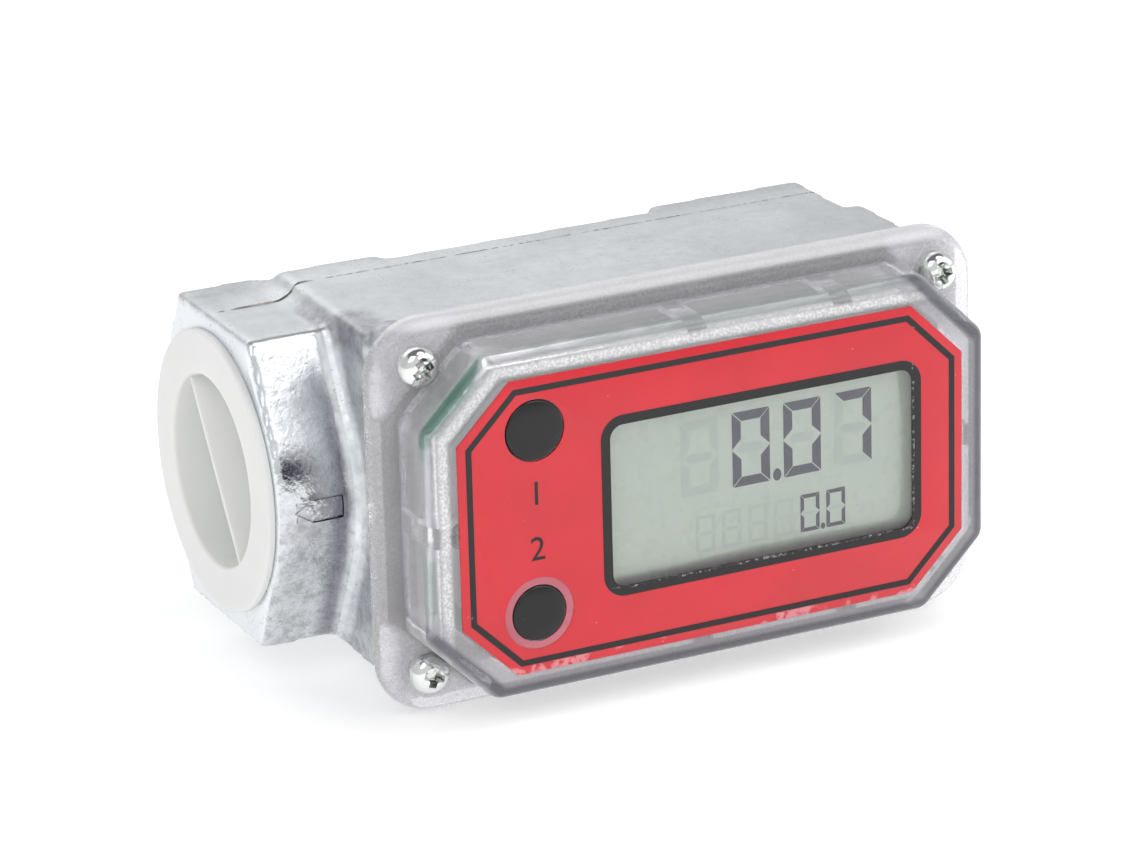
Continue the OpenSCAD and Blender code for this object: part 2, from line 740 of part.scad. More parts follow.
// A push button: a low dome over a round cap, with a rim behind the cover's front wall
module push_button(r) {
    dome = button_proud;
    sphere_r = (r * r + dome * dome) / (2 * dome);
    intersection() {
        deep_rod(r, -button_proud - over, button_rim_depth + slip);
        translate([0, y_of(sphere_r - button_proud), cover_rise])
            sphere(r = sphere_r, $fn = 128);
    }
    deep_rod(r + button_rim_w, button_rim_depth, plunger_top);
}

module display_button() color([0.16, 0.16, 0.17])
    translate([-button_x, 0, display_z]) push_button(display_r);

module calibrate_button() color([0.16, 0.16, 0.17])
    translate([-button_x, 0, -calibrate_z]) push_button(calibrate_r);

// A tactile switch on the board, with a well for its plunger
module switch_case() {
    difference() {
        front_box(switch_w, switch_w, switch_top, board_depth);
        deep_rod(plunger_r + slip, switch_top - over, well_end);
    }
}

module display_switch() color([0.2, 0.2, 0.2])
    translate([-button_x, 0, display_z]) switch_case();

module calibrate_switch() color([0.2, 0.2, 0.2])
    translate([-button_x, 0, -calibrate_z]) switch_case();

module display_plunger() color([0.85, 0.8, 0.4])
    translate([-button_x, 0, display_z]) deep_rod(plunger_r, plunger_top, plunger_end);

module calibrate_plunger() color([0.85, 0.8, 0.4])
    translate([-button_x, 0, -calibrate_z]) deep_rod(plunger_r, plunger_top, plunger_end);

module flow_pickup() color([0.15, 0.2, 0.4]) translate([0, 0, pickup_z])
    deep_rod(pickup_r, board_back, plate_depth + pickup_reach);

module battery_holder() color([0.1, 0.1, 0.1]) difference() {
    front_box(holder_w, holder_h, holder_front, holder_back);
    for (sz = [-1, 1]) translate([0, 0, sz * battery_z])
        front_box(holder_w - 2 * holder_wall, 2 * (battery_r + battery_gap),
            holder_front - over, holder_back - holder_wall);
}

// A battery along X: its cap points to the side that is given as 1 or -1
module battery(cap_side) {
    x = battery_len / 2;
    shift = -cap_side * cap_len / 2;
    translate([shift, y_of(battery_depth), cover_rise]) {
        flow_rod(battery_r, -x, x);
        flow_rod(cap_r, cap_side < 0 ? -x - cap_len : x - over,
            cap_side < 0 ? over - x : x + cap_len);
    }
}

module upper_battery() color([0.75, 0.6, 0.2]) translate([0, 0, battery_z]) battery(1);

module lower_battery() color([0.75, 0.6, 0.2]) translate([0, 0, -battery_z]) battery(-1);

// The contacts stand on the holder's end walls: flat at the caps, bowed at the bases
contact_x = holder_w / 2 - holder_wall;
contact_h = battery_r;
module battery_contacts() color([0.8, 0.8, 0.76]) for (side = [-1, 1])
    translate([side * (contact_x - contact_room + contact_t / 2), 0, side * battery_z]) {
        front_box(contact_t, contact_h, battery_depth - battery_r / 2,
            battery_depth + battery_r / 2);
        for (sz = [-1, 1]) translate([side * (contact_room - contact_t) / 2, 0,
                sz * (contact_h - contact_t) / 2])
            front_box(contact_room, contact_t, battery_depth - battery_r / 2,
                battery_depth + battery_r / 2);
    }

// A bowed leaf spring: two sloping legs from the holder's wall to the battery's base
module leaf_spring(side) {
    reach = contact_room;
    points = [[0, -contact_h / 2], [contact_t, -contact_h / 2], [reach, 0],
        [contact_t, contact_h / 2], [0, contact_h / 2], [reach - contact_t * 1.5, 0]];
    translate([side * contact_x, y_of(battery_depth + battery_r / 2), cover_rise])
        rotate([90, 0, 0]) linear_extrude(battery_r)
            polygon([for (p = points) [-side * p[0], p[1]]]);
}

module battery_springs() color([0.8, 0.8, 0.76]) for (side = [-1, 1])
    translate([0, 0, -side * battery_z]) leaf_spring(side);

// A stator on the side that is given as 1 or -1: a ring, vanes and a hub with a nose
module stator(side) {
    mirror([side < 0 ? 1 : 0, 0, 0]) {
        difference() {
            flow_rod(stator_r, stator_in, stator_out);
            flow_rod(stator_r - stator_wall, stator_in - over, stator_out + over);
        }
        intersection() {
            difference() {
                flow_rod(stator_r - stator_wall / 2, stator_in - over, stator_out + over);
                flow_rod(stator_hub_r - vane_t / 2, stator_in - 2 * over, stator_out + 2 * over);
            }
            for (i = [0:vane_count - 1]) rotate([i * 360 / vane_count, 0, 0])
                translate([stator_in + vane_inset, -vane_t / 2, 0])
                    cube([stator_len - 2 * vane_inset, vane_t, stator_r]);
        }
        difference() {
            union() {
                flow_rod(stator_hub_r, stator_in, stator_out);
                translate([stator_out - over, 0, 0]) rotate([0, 90, 0])
                    cylinder(r1 = stator_hub_r - slip, r2 = stator_hub_r / 3, h = stator_hub_r);
            }
            flow_rod(bush_r, stator_in - over, bush_out);
        }
    }
}

module inlet_stator() color([0.9, 0.9, 0.87]) stator(1);

module outlet_stator() color([0.9, 0.9, 0.87]) stator(-1);

// A retaining ring: open at the top, with an eye at each end for the pliers. An eye's
// distance from the ring's end is given as a share of the ring's width.
ring_eye_share = 0.7;
module retaining_ring(x_0) {
    ring_r = stator_bore_r + ring_groove - slip;
    reach = 2 * ring_r;
    half_gap = ring_gap_angle / 2;
    eye_angle = half_gap + ring_eye_share * ring_w / ring_r * 180 / PI;
    eye_at = (ring_r - ring_w) * [sin(eye_angle), cos(eye_angle)];
    along_flow(x_0, x_0 + ring_t) difference() {
        union() {
            difference() {
                circle(ring_r);
                circle(ring_r - ring_w);
                polygon([[0, 0], [-reach * sin(half_gap), reach * cos(half_gap)],
                    [reach * sin(half_gap), reach * cos(half_gap)]]);
            }
            for (side = [-1, 1]) translate([side * eye_at[0], eye_at[1]]) circle(ring_w / 2);
        }
        for (side = [-1, 1]) translate([side * eye_at[0], eye_at[1]]) circle(ring_w / 4);
    }
}

module inlet_ring() color([0.35, 0.36, 0.38]) retaining_ring(stator_out + slip / 2);

module outlet_ring() color([0.35, 0.36, 0.38]) retaining_ring(-stator_out - ring_t - slip / 2);

// A bearing bush, open through its length
module bearing(x_0) {
    difference() {
        flow_rod(bush_r, x_0, x_0 + bush_len);
        flow_rod(shaft_r + shaft_gap, x_0 - over, x_0 + bush_len + over);
    }
}

module inlet_bearing() color([0.72, 0.5, 0.25]) bearing(bush_in);

module outlet_bearing() color([0.72, 0.5, 0.25]) bearing(-bush_out);

module rotor_wheel() color([0.15, 0.15, 0.16]) difference() {
    union() {
        flow_rod(hub_r, -hub_len / 2, hub_len / 2);
        intersection() {
            flow_rod(rotor_r, -hub_len / 2, hub_len / 2);
            for (i = [0:blade_count - 1]) rotate([i * 360 / blade_count, 0, 0])
                rotate([0, 0, blade_angle])
                    translate([-hub_len, -blade_t / 2, hub_r / 2])
                        cube([2 * hub_len, blade_t, rotor_r]);
        }
    }
    flow_rod(shaft_r, -hub_len / 2 - over, hub_len / 2 + over);
    for (side = [-1, 1]) translate([0, 0, side * magnet_at])
        flow_rod(magnet_r, hub_len / 2 - magnet_len, hub_len / 2 + over);
}

module rotor_shaft() color([0.8, 0.8, 0.82]) flow_rod(shaft_r, -shaft_len / 2, shaft_len / 2);

module rotor_magnets() color([0.4, 0.4, 0.43]) for (side = [-1, 1])
    translate([0, 0, side * magnet_at]) flow_rod(magnet_r, hub_len / 2 - magnet_len, hub_len / 2);

module outlet_plug() color([0.95, 0.95, 0.93]) {
    mouth = -outlet_reach - plug_rim_t;
    bottom = -outlet_reach + plug_len - plug_floor;
    difference() {
        union() {
            flow_rod(plug_rim_r, mouth, -outlet_reach);
            flow_rod(thread_r - plug_gap, -outlet_reach - over, -outlet_reach + plug_len);
        }
        difference() {
            flow_rod(plug_recess_r, mouth - over, bottom);
            rotate([-plug_web_angle, 0, 0])
                translate([mouth + plug_web_sink, -plug_web_t / 2, -plug_recess_r - over])
                    cube([bottom - mouth, plug_web_t, 2 * (plug_recess_r + over)]);
        }
    }
}

in_frame() {
    turbine_housing();
    clear_cover();
    face_label();
    cover_gasket();
    cover_screws();
    lcd_glass();
    lcd_reflector();
    lcd_segments();
    lcd_frame();
    contact_strips();
    circuit_board();
    processor_chip();
    board_components();
    board_screws();
    display_button();
    calibrate_button();
    display_switch();
    calibrate_switch();
    display_plunger();
    calibrate_plunger();
    flow_pickup();
    battery_holder();
    upper_battery();
    lower_battery();
    battery_contacts();
    battery_springs();
    inlet_stator();
    outlet_stator();
    inlet_ring();
    outlet_ring();
    inlet_bearing();
    outlet_bearing();
    rotor_wheel();
    rotor_shaft();
    rotor_magnets();
    outlet_plug();
}
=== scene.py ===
"""Digital fuel flow meter: the looks of its pieces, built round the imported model.

An aluminium turbine housing with a pipe port at each end, a clear cover with a red label
and an LCD on its front, and a white shipping plug in the outlet. The flow axis is the
line y = z = 0, the front faces -Y, and every length is in metres.
"""
import math
import random

import bmesh
import bpy
from bpy.props import FloatProperty, FloatVectorProperty, IntProperty, PointerProperty
from bpy.types import Operator, Panel, PropertyGroup
from mathutils import Matrix, Vector
from mathutils.bvhtree import BVHTree


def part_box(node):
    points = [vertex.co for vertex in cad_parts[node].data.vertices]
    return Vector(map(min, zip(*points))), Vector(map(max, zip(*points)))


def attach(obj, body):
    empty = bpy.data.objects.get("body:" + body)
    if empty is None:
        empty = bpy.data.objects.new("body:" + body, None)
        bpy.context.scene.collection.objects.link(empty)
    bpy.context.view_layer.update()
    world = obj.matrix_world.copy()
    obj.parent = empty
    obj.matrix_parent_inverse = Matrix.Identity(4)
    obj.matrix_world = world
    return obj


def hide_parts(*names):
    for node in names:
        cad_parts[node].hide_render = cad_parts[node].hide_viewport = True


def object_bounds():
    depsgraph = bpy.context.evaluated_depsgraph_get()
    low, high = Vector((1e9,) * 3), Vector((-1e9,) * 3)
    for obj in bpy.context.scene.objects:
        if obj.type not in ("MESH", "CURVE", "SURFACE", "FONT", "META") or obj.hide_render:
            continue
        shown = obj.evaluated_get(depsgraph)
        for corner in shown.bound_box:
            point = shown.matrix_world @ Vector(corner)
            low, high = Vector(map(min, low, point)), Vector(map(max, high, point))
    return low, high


bl_info = {
    "name": "Fuel flow meter",
    "version": (1, 0, 0),
    "blender": (4, 5, 0),
    "location": "3D Viewport > Sidebar > Flow meter",
    "description": "Models and finishes a digital fuel flow meter",
    "category": "Object",
}

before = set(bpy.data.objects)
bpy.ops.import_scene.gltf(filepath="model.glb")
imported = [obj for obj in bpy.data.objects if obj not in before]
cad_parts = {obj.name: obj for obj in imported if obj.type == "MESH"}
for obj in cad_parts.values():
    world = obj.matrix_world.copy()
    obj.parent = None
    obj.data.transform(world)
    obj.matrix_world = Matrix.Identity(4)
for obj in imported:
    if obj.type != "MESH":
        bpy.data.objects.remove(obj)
model_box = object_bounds()

MM = 0.001
TINY = 1e-6
ROUND = 96  # steps of a full turn
OVERRUN = MM  # how far a cutting tool runs past what it cuts

housing_low, housing_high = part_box("turbine_housing")
cover_low, cover_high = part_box("clear_cover")
label_low, label_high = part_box("face_label")
gasket_low, gasket_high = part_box("cover_gasket")
board_low, board_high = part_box("circuit_board")
glass_low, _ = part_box("lcd_glass")
plug_low, plug_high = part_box("outlet_plug")
screws_low, screws_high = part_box("cover_screws")

# The middle of the cover, seen from the front
MIDDLE = Vector(((cover_low.x + cover_high.x) / 2, 0, (cover_low.z + cover_high.z) / 2))
OUTLET_MOUTH = housing_low.x
INLET_MOUTH = housing_high.x


def size(name, about, default):
    """A length that a user may change, given here in millimetres."""
    return FloatProperty(name=name, description=about, default=default * MM,
                         min=0, unit="LENGTH", precision=5)


def share(name, about, default):
    """A plain number from 0 to 1 that a user may change."""
    return FloatProperty(name=name, description=about, default=default, min=0, max=1)


def angle(name, about, default):
    """An angle that a user may change, given here in degrees."""
    return FloatProperty(name=name, description=about, default=math.radians(default),
                         subtype="ANGLE")


def colour(name, about, *rgb):
    """A colour that a user may change, given as it looks on a screen from 0 to 255."""
    linear = [((c / 255 + 0.055) / 1.055) ** 2.4 if c > 10 else c / 3295 for c in rgb]
    return FloatVectorProperty(name=name, description=about, subtype="COLOR",
                               default=linear, min=0, max=1)


class HousingSizes(PropertyGroup):
    """Sizes of the casting's finish."""
    grain: size("Grain", "Size of the steps that the casting is rebuilt with", 0.62)
    softening: IntProperty(name="Softening", description="Rounds of smoothing", default=5)
    thinning: share("Thinning", "Part of the casting's triangles that is kept", 0.66)
    thread_pitch: size("Thread pitch", "Distance between two turns of the pipe thread", 2.2)
    thread_depth: size("Thread depth", "Depth of the pipe thread", 1.3)
    thread_length: size("Thread length", "Length of each threaded bore", 18)
    thread_radius: size("Thread radius", "Inner radius of the pipe thread", 15.15)
    seam_behind: size("Parting line", "Distance of the parting line behind the axis", 1.2)
    seam_rise: size("Flash", "Height of the flash on the parting line", 0.2)
    thread_wall: size("Thread wall", "Metal of the threaded sleeve behind the thread", 0.35)
    thread_gap: size("Thread gap", "Distance of the sleeve from its bore", 0.3)
    thread_inset: size("Thread inset", "Distance of the sleeve behind the port's mouth", 0.15)
    root_place: size("Outlet root", "Distance of the wrench section's end from the mouth", 10.8)
    root_slope: size("Root slope", "Length of the slope at the outlet's root", 1.2)
    root_draw: share("Root draw", "Size of the root's back corners beside the model's", 0.87)
    arrow_place: size("Arrow place", "Distance of the arrow's middle from the mouth", 5.85)
    arrow_length: size("Arrow length", "Length of the raised flow arrow", 7)
    arrow_height: size("Arrow height", "Height of the raised flow arrow", 3.2)
    arrow_line: size("Arrow line", "Width of the arrow's outline", 0.55)
    arrow_rise: size("Arrow rise", "Rise of the arrow's outline over its ground", 0.3)
    arrow_sunk: size("Arrow thickness", "Thickness of the arrow's outline, sunk part and all", 0.5)
    foot_spread: size("Foot spread", "Distance that the arrow's foot shows round it", 0.1)
    foot_rise: size("Foot rise", "Rise of the arrow's foot over its ground", 0.06)


class CoverSizes(PropertyGroup):
    """Sizes of the clear cover."""
    gasket_reach: size("Gasket reach", "Distance of the gasket past the raised front", 1.2)
    corner_cut: size("Corner cut", "Length cut back at the raised front's corners", 9.65)
    flange: size("Flange", "Thickness of the flange", 3)
    flange_trim: size("Flange trim", "Distance of the flange's edge inside the model's outline", 0.5)
    flange_corner: size("Flange corner", "Radius of the flange's corners", 8.2)
    wall: size("Wall", "Thickness of the front and side walls", 2.2)
    draft: size("Draft", "Distance that the raised front widens toward the flange", 0.1)
    edge: size("Edge", "Radius of the raised front's edges", 2.3)
    corner_round: size("Corner round", "Rounding of the raised front's corners", 1.0)
    flange_edge: size("Flange edge", "Radius of the flange's front edge", 2.3)
    hole: size("Screw hole", "Radius of a screw's hole", 2)
    post: size("Post", "Radius of the two posts of the board", 2)
    post_inset: size("Post inset", "Distance of the posts from the inner wall", 3.3)
    board_cut: size("Board cut", "Length cut back at the board's corners", 8.9)
    rib_width: size("Rib width", "Width of a rib inside the walls", 3)
    rib_reach: size("Rib reach", "Distance that a rib stands in from its wall", 1)
    rib_bite: size("Rib bite", "Distance that a rib runs into its wall", 0.5)
    button_gap: size("Button gap", "Gap round a button", 0.15)
    button_rim: size("Button rim", "Reach of a button's rim round its cap", 1.1)
    rib_left: size("Left ribs", "Distance of the left ribs to the left of the middle", 1.5)
    rib_right: size("Right ribs", "Distance of the right ribs to the right", 21)


class LabelSizes(PropertyGroup):
    """Sizes of the printed label."""
    corner_cut: size("Corner cut", "Length cut back at the label's corners", 8)
    window_width: size("Window width", "Width of the label's window", 47)
    window_height: size("Window height", "Height of the label's window", 23.6)
    window_right: size("Window place", "Distance of the window right of the middle", 7.4)
    window_up: size("Window height place", "Distance of the window above the middle", 0.4)
    window_corner: size("Window corner", "Radius of the window's corners", 2)
    window_line: size("Window line", "Width of the black line round the window", 1.35)
    border_inset: size("Border inset", "Distance of the border line from the edge", 1.2)
    border_line: size("Border line", "Width of the border line", 0.88)
    film: size("Film ring", "Width of the bare film round the lower button", 1.2)
    ink: size("Ink", "Thickness of the printed lines", 0.025)
    ink_sunk: size("Sunk ink", "Depth of the printed lines in the film", 0.02)
    figure_height: size("Figure height", "Height of the printed figures", 3.4)
    figure_share: share("Figure share", "Height of a figure beside the size of its type", 0.7)
    figure_off: size("Figure distance", "Distance of a figure's middle from its button's", 9.2)


class DisplaySizes(PropertyGroup):
    """Sizes of the LCD's figures."""
    digit_height: size("Digit height", "Height of a large digit", 10.85)
    digit_width: size("Digit width", "Width of a large digit", 5.8)
    digit_pitch: size("Digit pitch", "Distance between two large digits", 8)
    stroke: size("Stroke", "Width of a segment", 1.35)
    gap: size("Gap", "Gap between two segments", 0.22)
    small_share: share("Small digits", "Size of the small digits beside the large ones", 0.51)
    last_right: size("Last digit", "Distance of the last large digit right of the middle", 15)
    large_up: size("Large row", "Distance of the large digits above the middle", 4)
    small_left: size("Small row's place", "Distance of the last small digit to its left", 2.85)
    small_down: size("Small row", "Distance of the small digits below the middle", 7.3)
    small_stroke: share("Small strokes", "Width of a small segment beside a large one", 0.4)


class FastenerSizes(PropertyGroup):
    """Sizes of the cover screws."""
    head: size("Head", "Radius of a screw's head", 2.9)
    head_height: size("Head height", "Height of a screw's head", 2.3)
    shank: size("Shank", "Radius of a screw's shank", 1.9)
    recess: size("Recess", "Length of a wing of the cross recess", 2.05)
    recess_width: size("Recess width", "Width of a wing of the cross recess", 1.25)
    taper: share("Recess taper", "Length of a wing's bottom beside its top", 0.42)
    narrowing: share("Recess narrowing", "Width of a wing's bottom beside its top", 0.75)
    recess_depth: size("Recess depth", "Depth of the cross recess", 1.7)


class PlugSizes(PropertyGroup):
    """Sizes of the shipping plug."""
    rim: size("Rim", "Thickness of the plug's rim", 1.2)
    barrel: size("Barrel", "Radius of the plug inside the port", 15.07)
    recess: size("Recess", "Radius of the recess", 13.8)
    floor: size("Bottom", "Thickness of the recess's bottom", 2)
    web: size("Web", "Thickness of the web", 0.8)
    web_sink: size("Web edge", "Depth of the web's edge below the rim", 0.6)
    web_angle: angle("Web angle", "Angle of the web from upright", 33)


class FinishColours(PropertyGroup):
    """Colours of the finishes, as they look on a screen."""
    aluminium: colour("Aluminium", "Cast aluminium", 226, 229, 232)
    flash: colour("Flash", "Stained flash on the parting line", 132, 124, 120)
    plastic: colour("Clear plastic", "Tint of the clear cover", 252, 251, 254)
    label: colour("Label", "Printed ground of the label", 212, 26, 42)
    ink: colour("Ink", "Black print on the label", 20, 17, 20)
    film: colour("Film", "Clear film of the label where it has no print", 226, 128, 142)
    lcd: colour("LCD", "Ground of the display", 208, 224, 206)
    idle: colour("Idle segments", "Segments that aren't lit", 198, 214, 201)
    segments: colour("Segments", "Segments that are lit", 82, 85, 96)
    button: colour("Buttons", "Black buttons", 20, 20, 22)
    zinc: colour("Zinc", "Bright zinc plate", 236, 238, 238)
    plug: colour("Plug", "White plastic of the plug", 233, 234, 232)
    board: colour("Board", "Green laminate", 24, 118, 84)
    rubber: colour("Rubber", "Grey rubber", 104, 101, 107)


class StageSettings(PropertyGroup):
    """The camera, the lights and the floor."""
    lens: FloatProperty(name="Lens", description="Focal length in millimetres", default=166.3)
    distance: size("Distance", "Distance of the camera from its target", 738.4)
    azimuth: angle("Azimuth", "Turn of the camera to the object's left", 25.69)
    elevation: angle("Elevation", "Height of the camera over the horizon", 20.09)
    roll: angle("Roll", "Turn of the camera round its line of sight", -1.56)
    aim: FloatVectorProperty(name="Aim", description="Place looked at, from the label's middle",
                             default=(-9.69 * MM, 25.6 * MM, 2.76 * MM), subtype="TRANSLATION")
    steps: IntProperty(name="Steps", description="Steps of a rounded edge", default=4)


class MeterSettings(PropertyGroup):
    """Everything that a user may change."""
    housing: PointerProperty(type=HousingSizes)
    cover: PointerProperty(type=CoverSizes)
    label: PointerProperty(type=LabelSizes)
    display: PointerProperty(type=DisplaySizes)
    fastener: PointerProperty(type=FastenerSizes)
    plug: PointerProperty(type=PlugSizes)
    colours: PointerProperty(type=FinishColours)
    stage: PointerProperty(type=StageSettings)


def settings():
    """The sizes and colours of the scene."""
    return bpy.context.scene.flow_meter


# Shapes


def round_edges(shape, radius, steps, chosen):
    """Rounds the edges that a test chooses."""
    edges = [edge for edge in shape.edges if chosen(edge)]
    bmesh.ops.bevel(shape, geom=edges, offset=radius, offset_type="OFFSET", segments=steps,
                    profile=0.5, affect="EDGES", material=-1)


def cut_corners(shape, length, steps, verts=None):
    """Cuts corners back, or rounds them where there are several steps."""
    bmesh.ops.bevel(shape, geom=verts or shape.verts[:], offset=length, offset_type="OFFSET",
                    segments=steps, profile=0.5, affect="VERTICES", material=-1)


def new_strip(width, height):
    """A flat rectangle that faces up."""
    shape = bmesh.new()
    bmesh.ops.create_grid(shape, x_segments=1, y_segments=1, size=0.5)
    bmesh.ops.scale(shape, vec=(width, height, 1), verts=shape.verts)
    return shape


def new_sheet(width, height, corners=()):
    """An upright rectangle that faces the front. Each (length, steps) cuts its corners."""
    shape = new_strip(width, height)
    for length, steps in corners:
        cut_corners(shape, length, steps)
    return turn(shape, math.pi / 2, "X")


def hollow_out(shape, line):
    """Leaves only a line of even width along the outline of a flat shape."""
    made = bmesh.ops.inset_region(shape, faces=shape.faces[:], thickness=line,
                                  use_even_offset=True, use_boundary=True)
    inner = [face for face in shape.faces if face not in made["faces"]]
    bmesh.ops.delete(shape, geom=inner, context="FACES")


def thicken(shape, front, back):
    """Gives an upright sheet its front and its back, as depths along y."""
    bmesh.ops.translate(shape, vec=(0, front, 0), verts=shape.verts)
    made = bmesh.ops.extrude_face_region(shape, geom=shape.faces[:])
    pushed = [item for item in made["geom"] if isinstance(item, bmesh.types.BMVert)]
    bmesh.ops.translate(shape, vec=(0, back - front, 0), verts=pushed)
    bmesh.ops.recalc_face_normals(shape, faces=shape.faces)
    return shape


def new_plate(width, height, front, back, corners=(), edge=0, steps=3, place=(0, 0)):
    """A plate that faces the front, with a rounded front edge, round a place (x, z)."""
    shape = thicken(new_sheet(width, height, corners), front, back)
    if edge:
        round_edges(shape, edge, steps, lambda e: all(abs(v.co.y - front) < TINY for v in e.verts))
    return move(shape, (place[0], 0, place[1]))


def new_ring(width, height, line, front, back, corners=(), place=(0, 0)):
    """A flat line of even width round a rectangle with cut or rounded corners."""
    shape = new_sheet(width, height, corners)
    hollow_out(shape, line)
    return move(thicken(shape, front, back), (place[0], 0, place[1]))


def new_turned(profile, axis="Y", steps=ROUND):
    """A turned shape. The profile's points are (radius, depth, rounding) along the axis."""
    shape = bmesh.new()
    verts = [shape.verts.new((radius, 0, depth)) for radius, depth, _ in profile]
    for pair in zip(verts, verts[1:]):
        shape.edges.new(pair)
    for vert, (_, _, rounding) in zip(verts, profile):
        if rounding:
            cut_corners(shape, rounding, 5, [vert])
    bmesh.ops.spin(shape, geom=shape.verts[:] + shape.edges[:], cent=(0, 0, 0), axis=(0, 0, 1),
                   angle=2 * math.pi, steps=steps, use_merge=True)
    bmesh.ops.remove_doubles(shape, verts=shape.verts, dist=TINY)
    if axis == "Y":
        turn(shape, -math.pi / 2, "X")
    else:
        turn(shape, math.pi / 2, "Y")
    bmesh.ops.recalc_face_normals(shape, faces=shape.faces)
    return shape


def new_rod(radius, front, back, steps):
    """A round rod along y, from one depth to another."""
    return new_turned([(0, front, 0), (radius, front, 0), (radius, back, 0), (0, back, 0)],
                      steps=steps)


def move(shape, way):
    """Moves a shape, and returns it."""
    bmesh.ops.translate(shape, vec=way, verts=shape.verts)
    return shape


def turn(shape, amount, axis):
    """Turns a shape round an axis through the origin, and returns it."""
    bmesh.ops.rotate(shape, matrix=Matrix.Rotation(amount, 3, axis), verts=shape.verts)
    return shape


def together(shapes):
    """One bmesh that holds several closed shapes."""
    whole = bmesh.new()
    for shape in shapes:
        mesh = as_mesh(shape)
        whole.from_mesh(mesh)
        bpy.data.meshes.remove(mesh)
    return whole


def as_mesh(shape, name="shape"):
    """The mesh of a bmesh, which is then freed."""
    mesh = bpy.data.meshes.new(name)
    shape.to_mesh(mesh)
    shape.free()
    return mesh


def as_object(shape, name="shape"):
    """A bmesh as an object of the scene."""
    piece = bpy.data.objects.new(name, as_mesh(shape, name))
    bpy.context.scene.collection.objects.link(piece)
    return piece


def with_modifiers(piece):
    """The shape of an object with its modifiers applied."""
    graph = bpy.context.evaluated_depsgraph_get()
    mesh = bpy.data.meshes.new_from_object(piece.evaluated_get(graph))
    shape = bmesh.new()
    shape.from_mesh(mesh)
    bpy.data.meshes.remove(mesh)
    return shape


def modified(shape, kind, **choices):
    """A shape with one modifier applied. The shape itself is used up."""
    piece = as_object(shape)
    modifier = piece.modifiers.new(kind.lower(), kind)
    for name, value in choices.items():
        setattr(modifier, name, value)
    result = with_modifiers(piece)
    bpy.data.objects.remove(piece)
    return result


def carve(shape, tools, operation="DIFFERENCE"):
    """Cuts tools out of a shape, or joins them to it. All of them are used up."""
    bench = [as_object(item) for item in [shape, *tools]]
    for tool in bench[1:]:
        cut = bench[0].modifiers.new("carve", "BOOLEAN")
        cut.operation = operation
        cut.object = tool
    result = with_modifiers(bench[0])
    for item in bench:
        bpy.data.objects.remove(item)
    return result


def add_piece(name, shape, finish, body="root", replaces=(), sharp=40):
    """Makes a finished piece of a shape, and has it ride on a body of the frame."""
    for face in shape.faces:
        face.smooth = True
    for edge in shape.edges:
        edge.smooth = edge.calc_face_angle(0) < math.radians(sharp)
    piece = as_object(shape, name)
    piece.data.materials.append(finish)
    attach(piece, body)
    if replaces:
        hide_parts(*replaces)
    return piece


def dress(finish, *nodes):
    """Gives nodes of the frame their finish."""
    for node in nodes:
        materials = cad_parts[node].data.materials
        materials.clear()
        materials.append(finish)


# Finishes


class Wire:
    """The output of a shader node, as a value that Python's operators work on."""

    def __init__(self, finish, socket):
        self.finish = finish
        self.socket = socket

    def sum(self, operation, first, second):
        """A Math node on two values."""
        return self.finish.node("ShaderNodeMath", {"operation": operation}, {0: first, 1: second})

    def __add__(self, other):
        return self.sum("ADD", self, other)

    def __radd__(self, other):
        return self.sum("ADD", other, self)

    def __sub__(self, other):
        return self.sum("SUBTRACT", self, other)

    def __rsub__(self, other):
        return self.sum("SUBTRACT", other, self)

    def __mul__(self, other):
        return self.sum("MULTIPLY", self, other)

    def __rmul__(self, other):
        return self.sum("MULTIPLY", other, self)

    def most(self, other):
        """The larger of two values."""
        return self.sum("MAXIMUM", self, other)

    def size(self):
        """The value without its sign."""
        return self.sum("ABSOLUTE", self, 0)

    def between(self, low, high):
        """0 below low and 1 above high, with a smooth slope, or the reverse if low is higher."""
        return self.finish.node("ShaderNodeMapRange", {"interpolation_type": "SMOOTHSTEP"},
                                {"Value": self, "From Min": low, "From Max": high})

    def band(self, start, full, last, end):
        """1 from full to last and 0 outside start and end, with smooth slopes."""
        return self.between(start, full) * self.between(end, last)


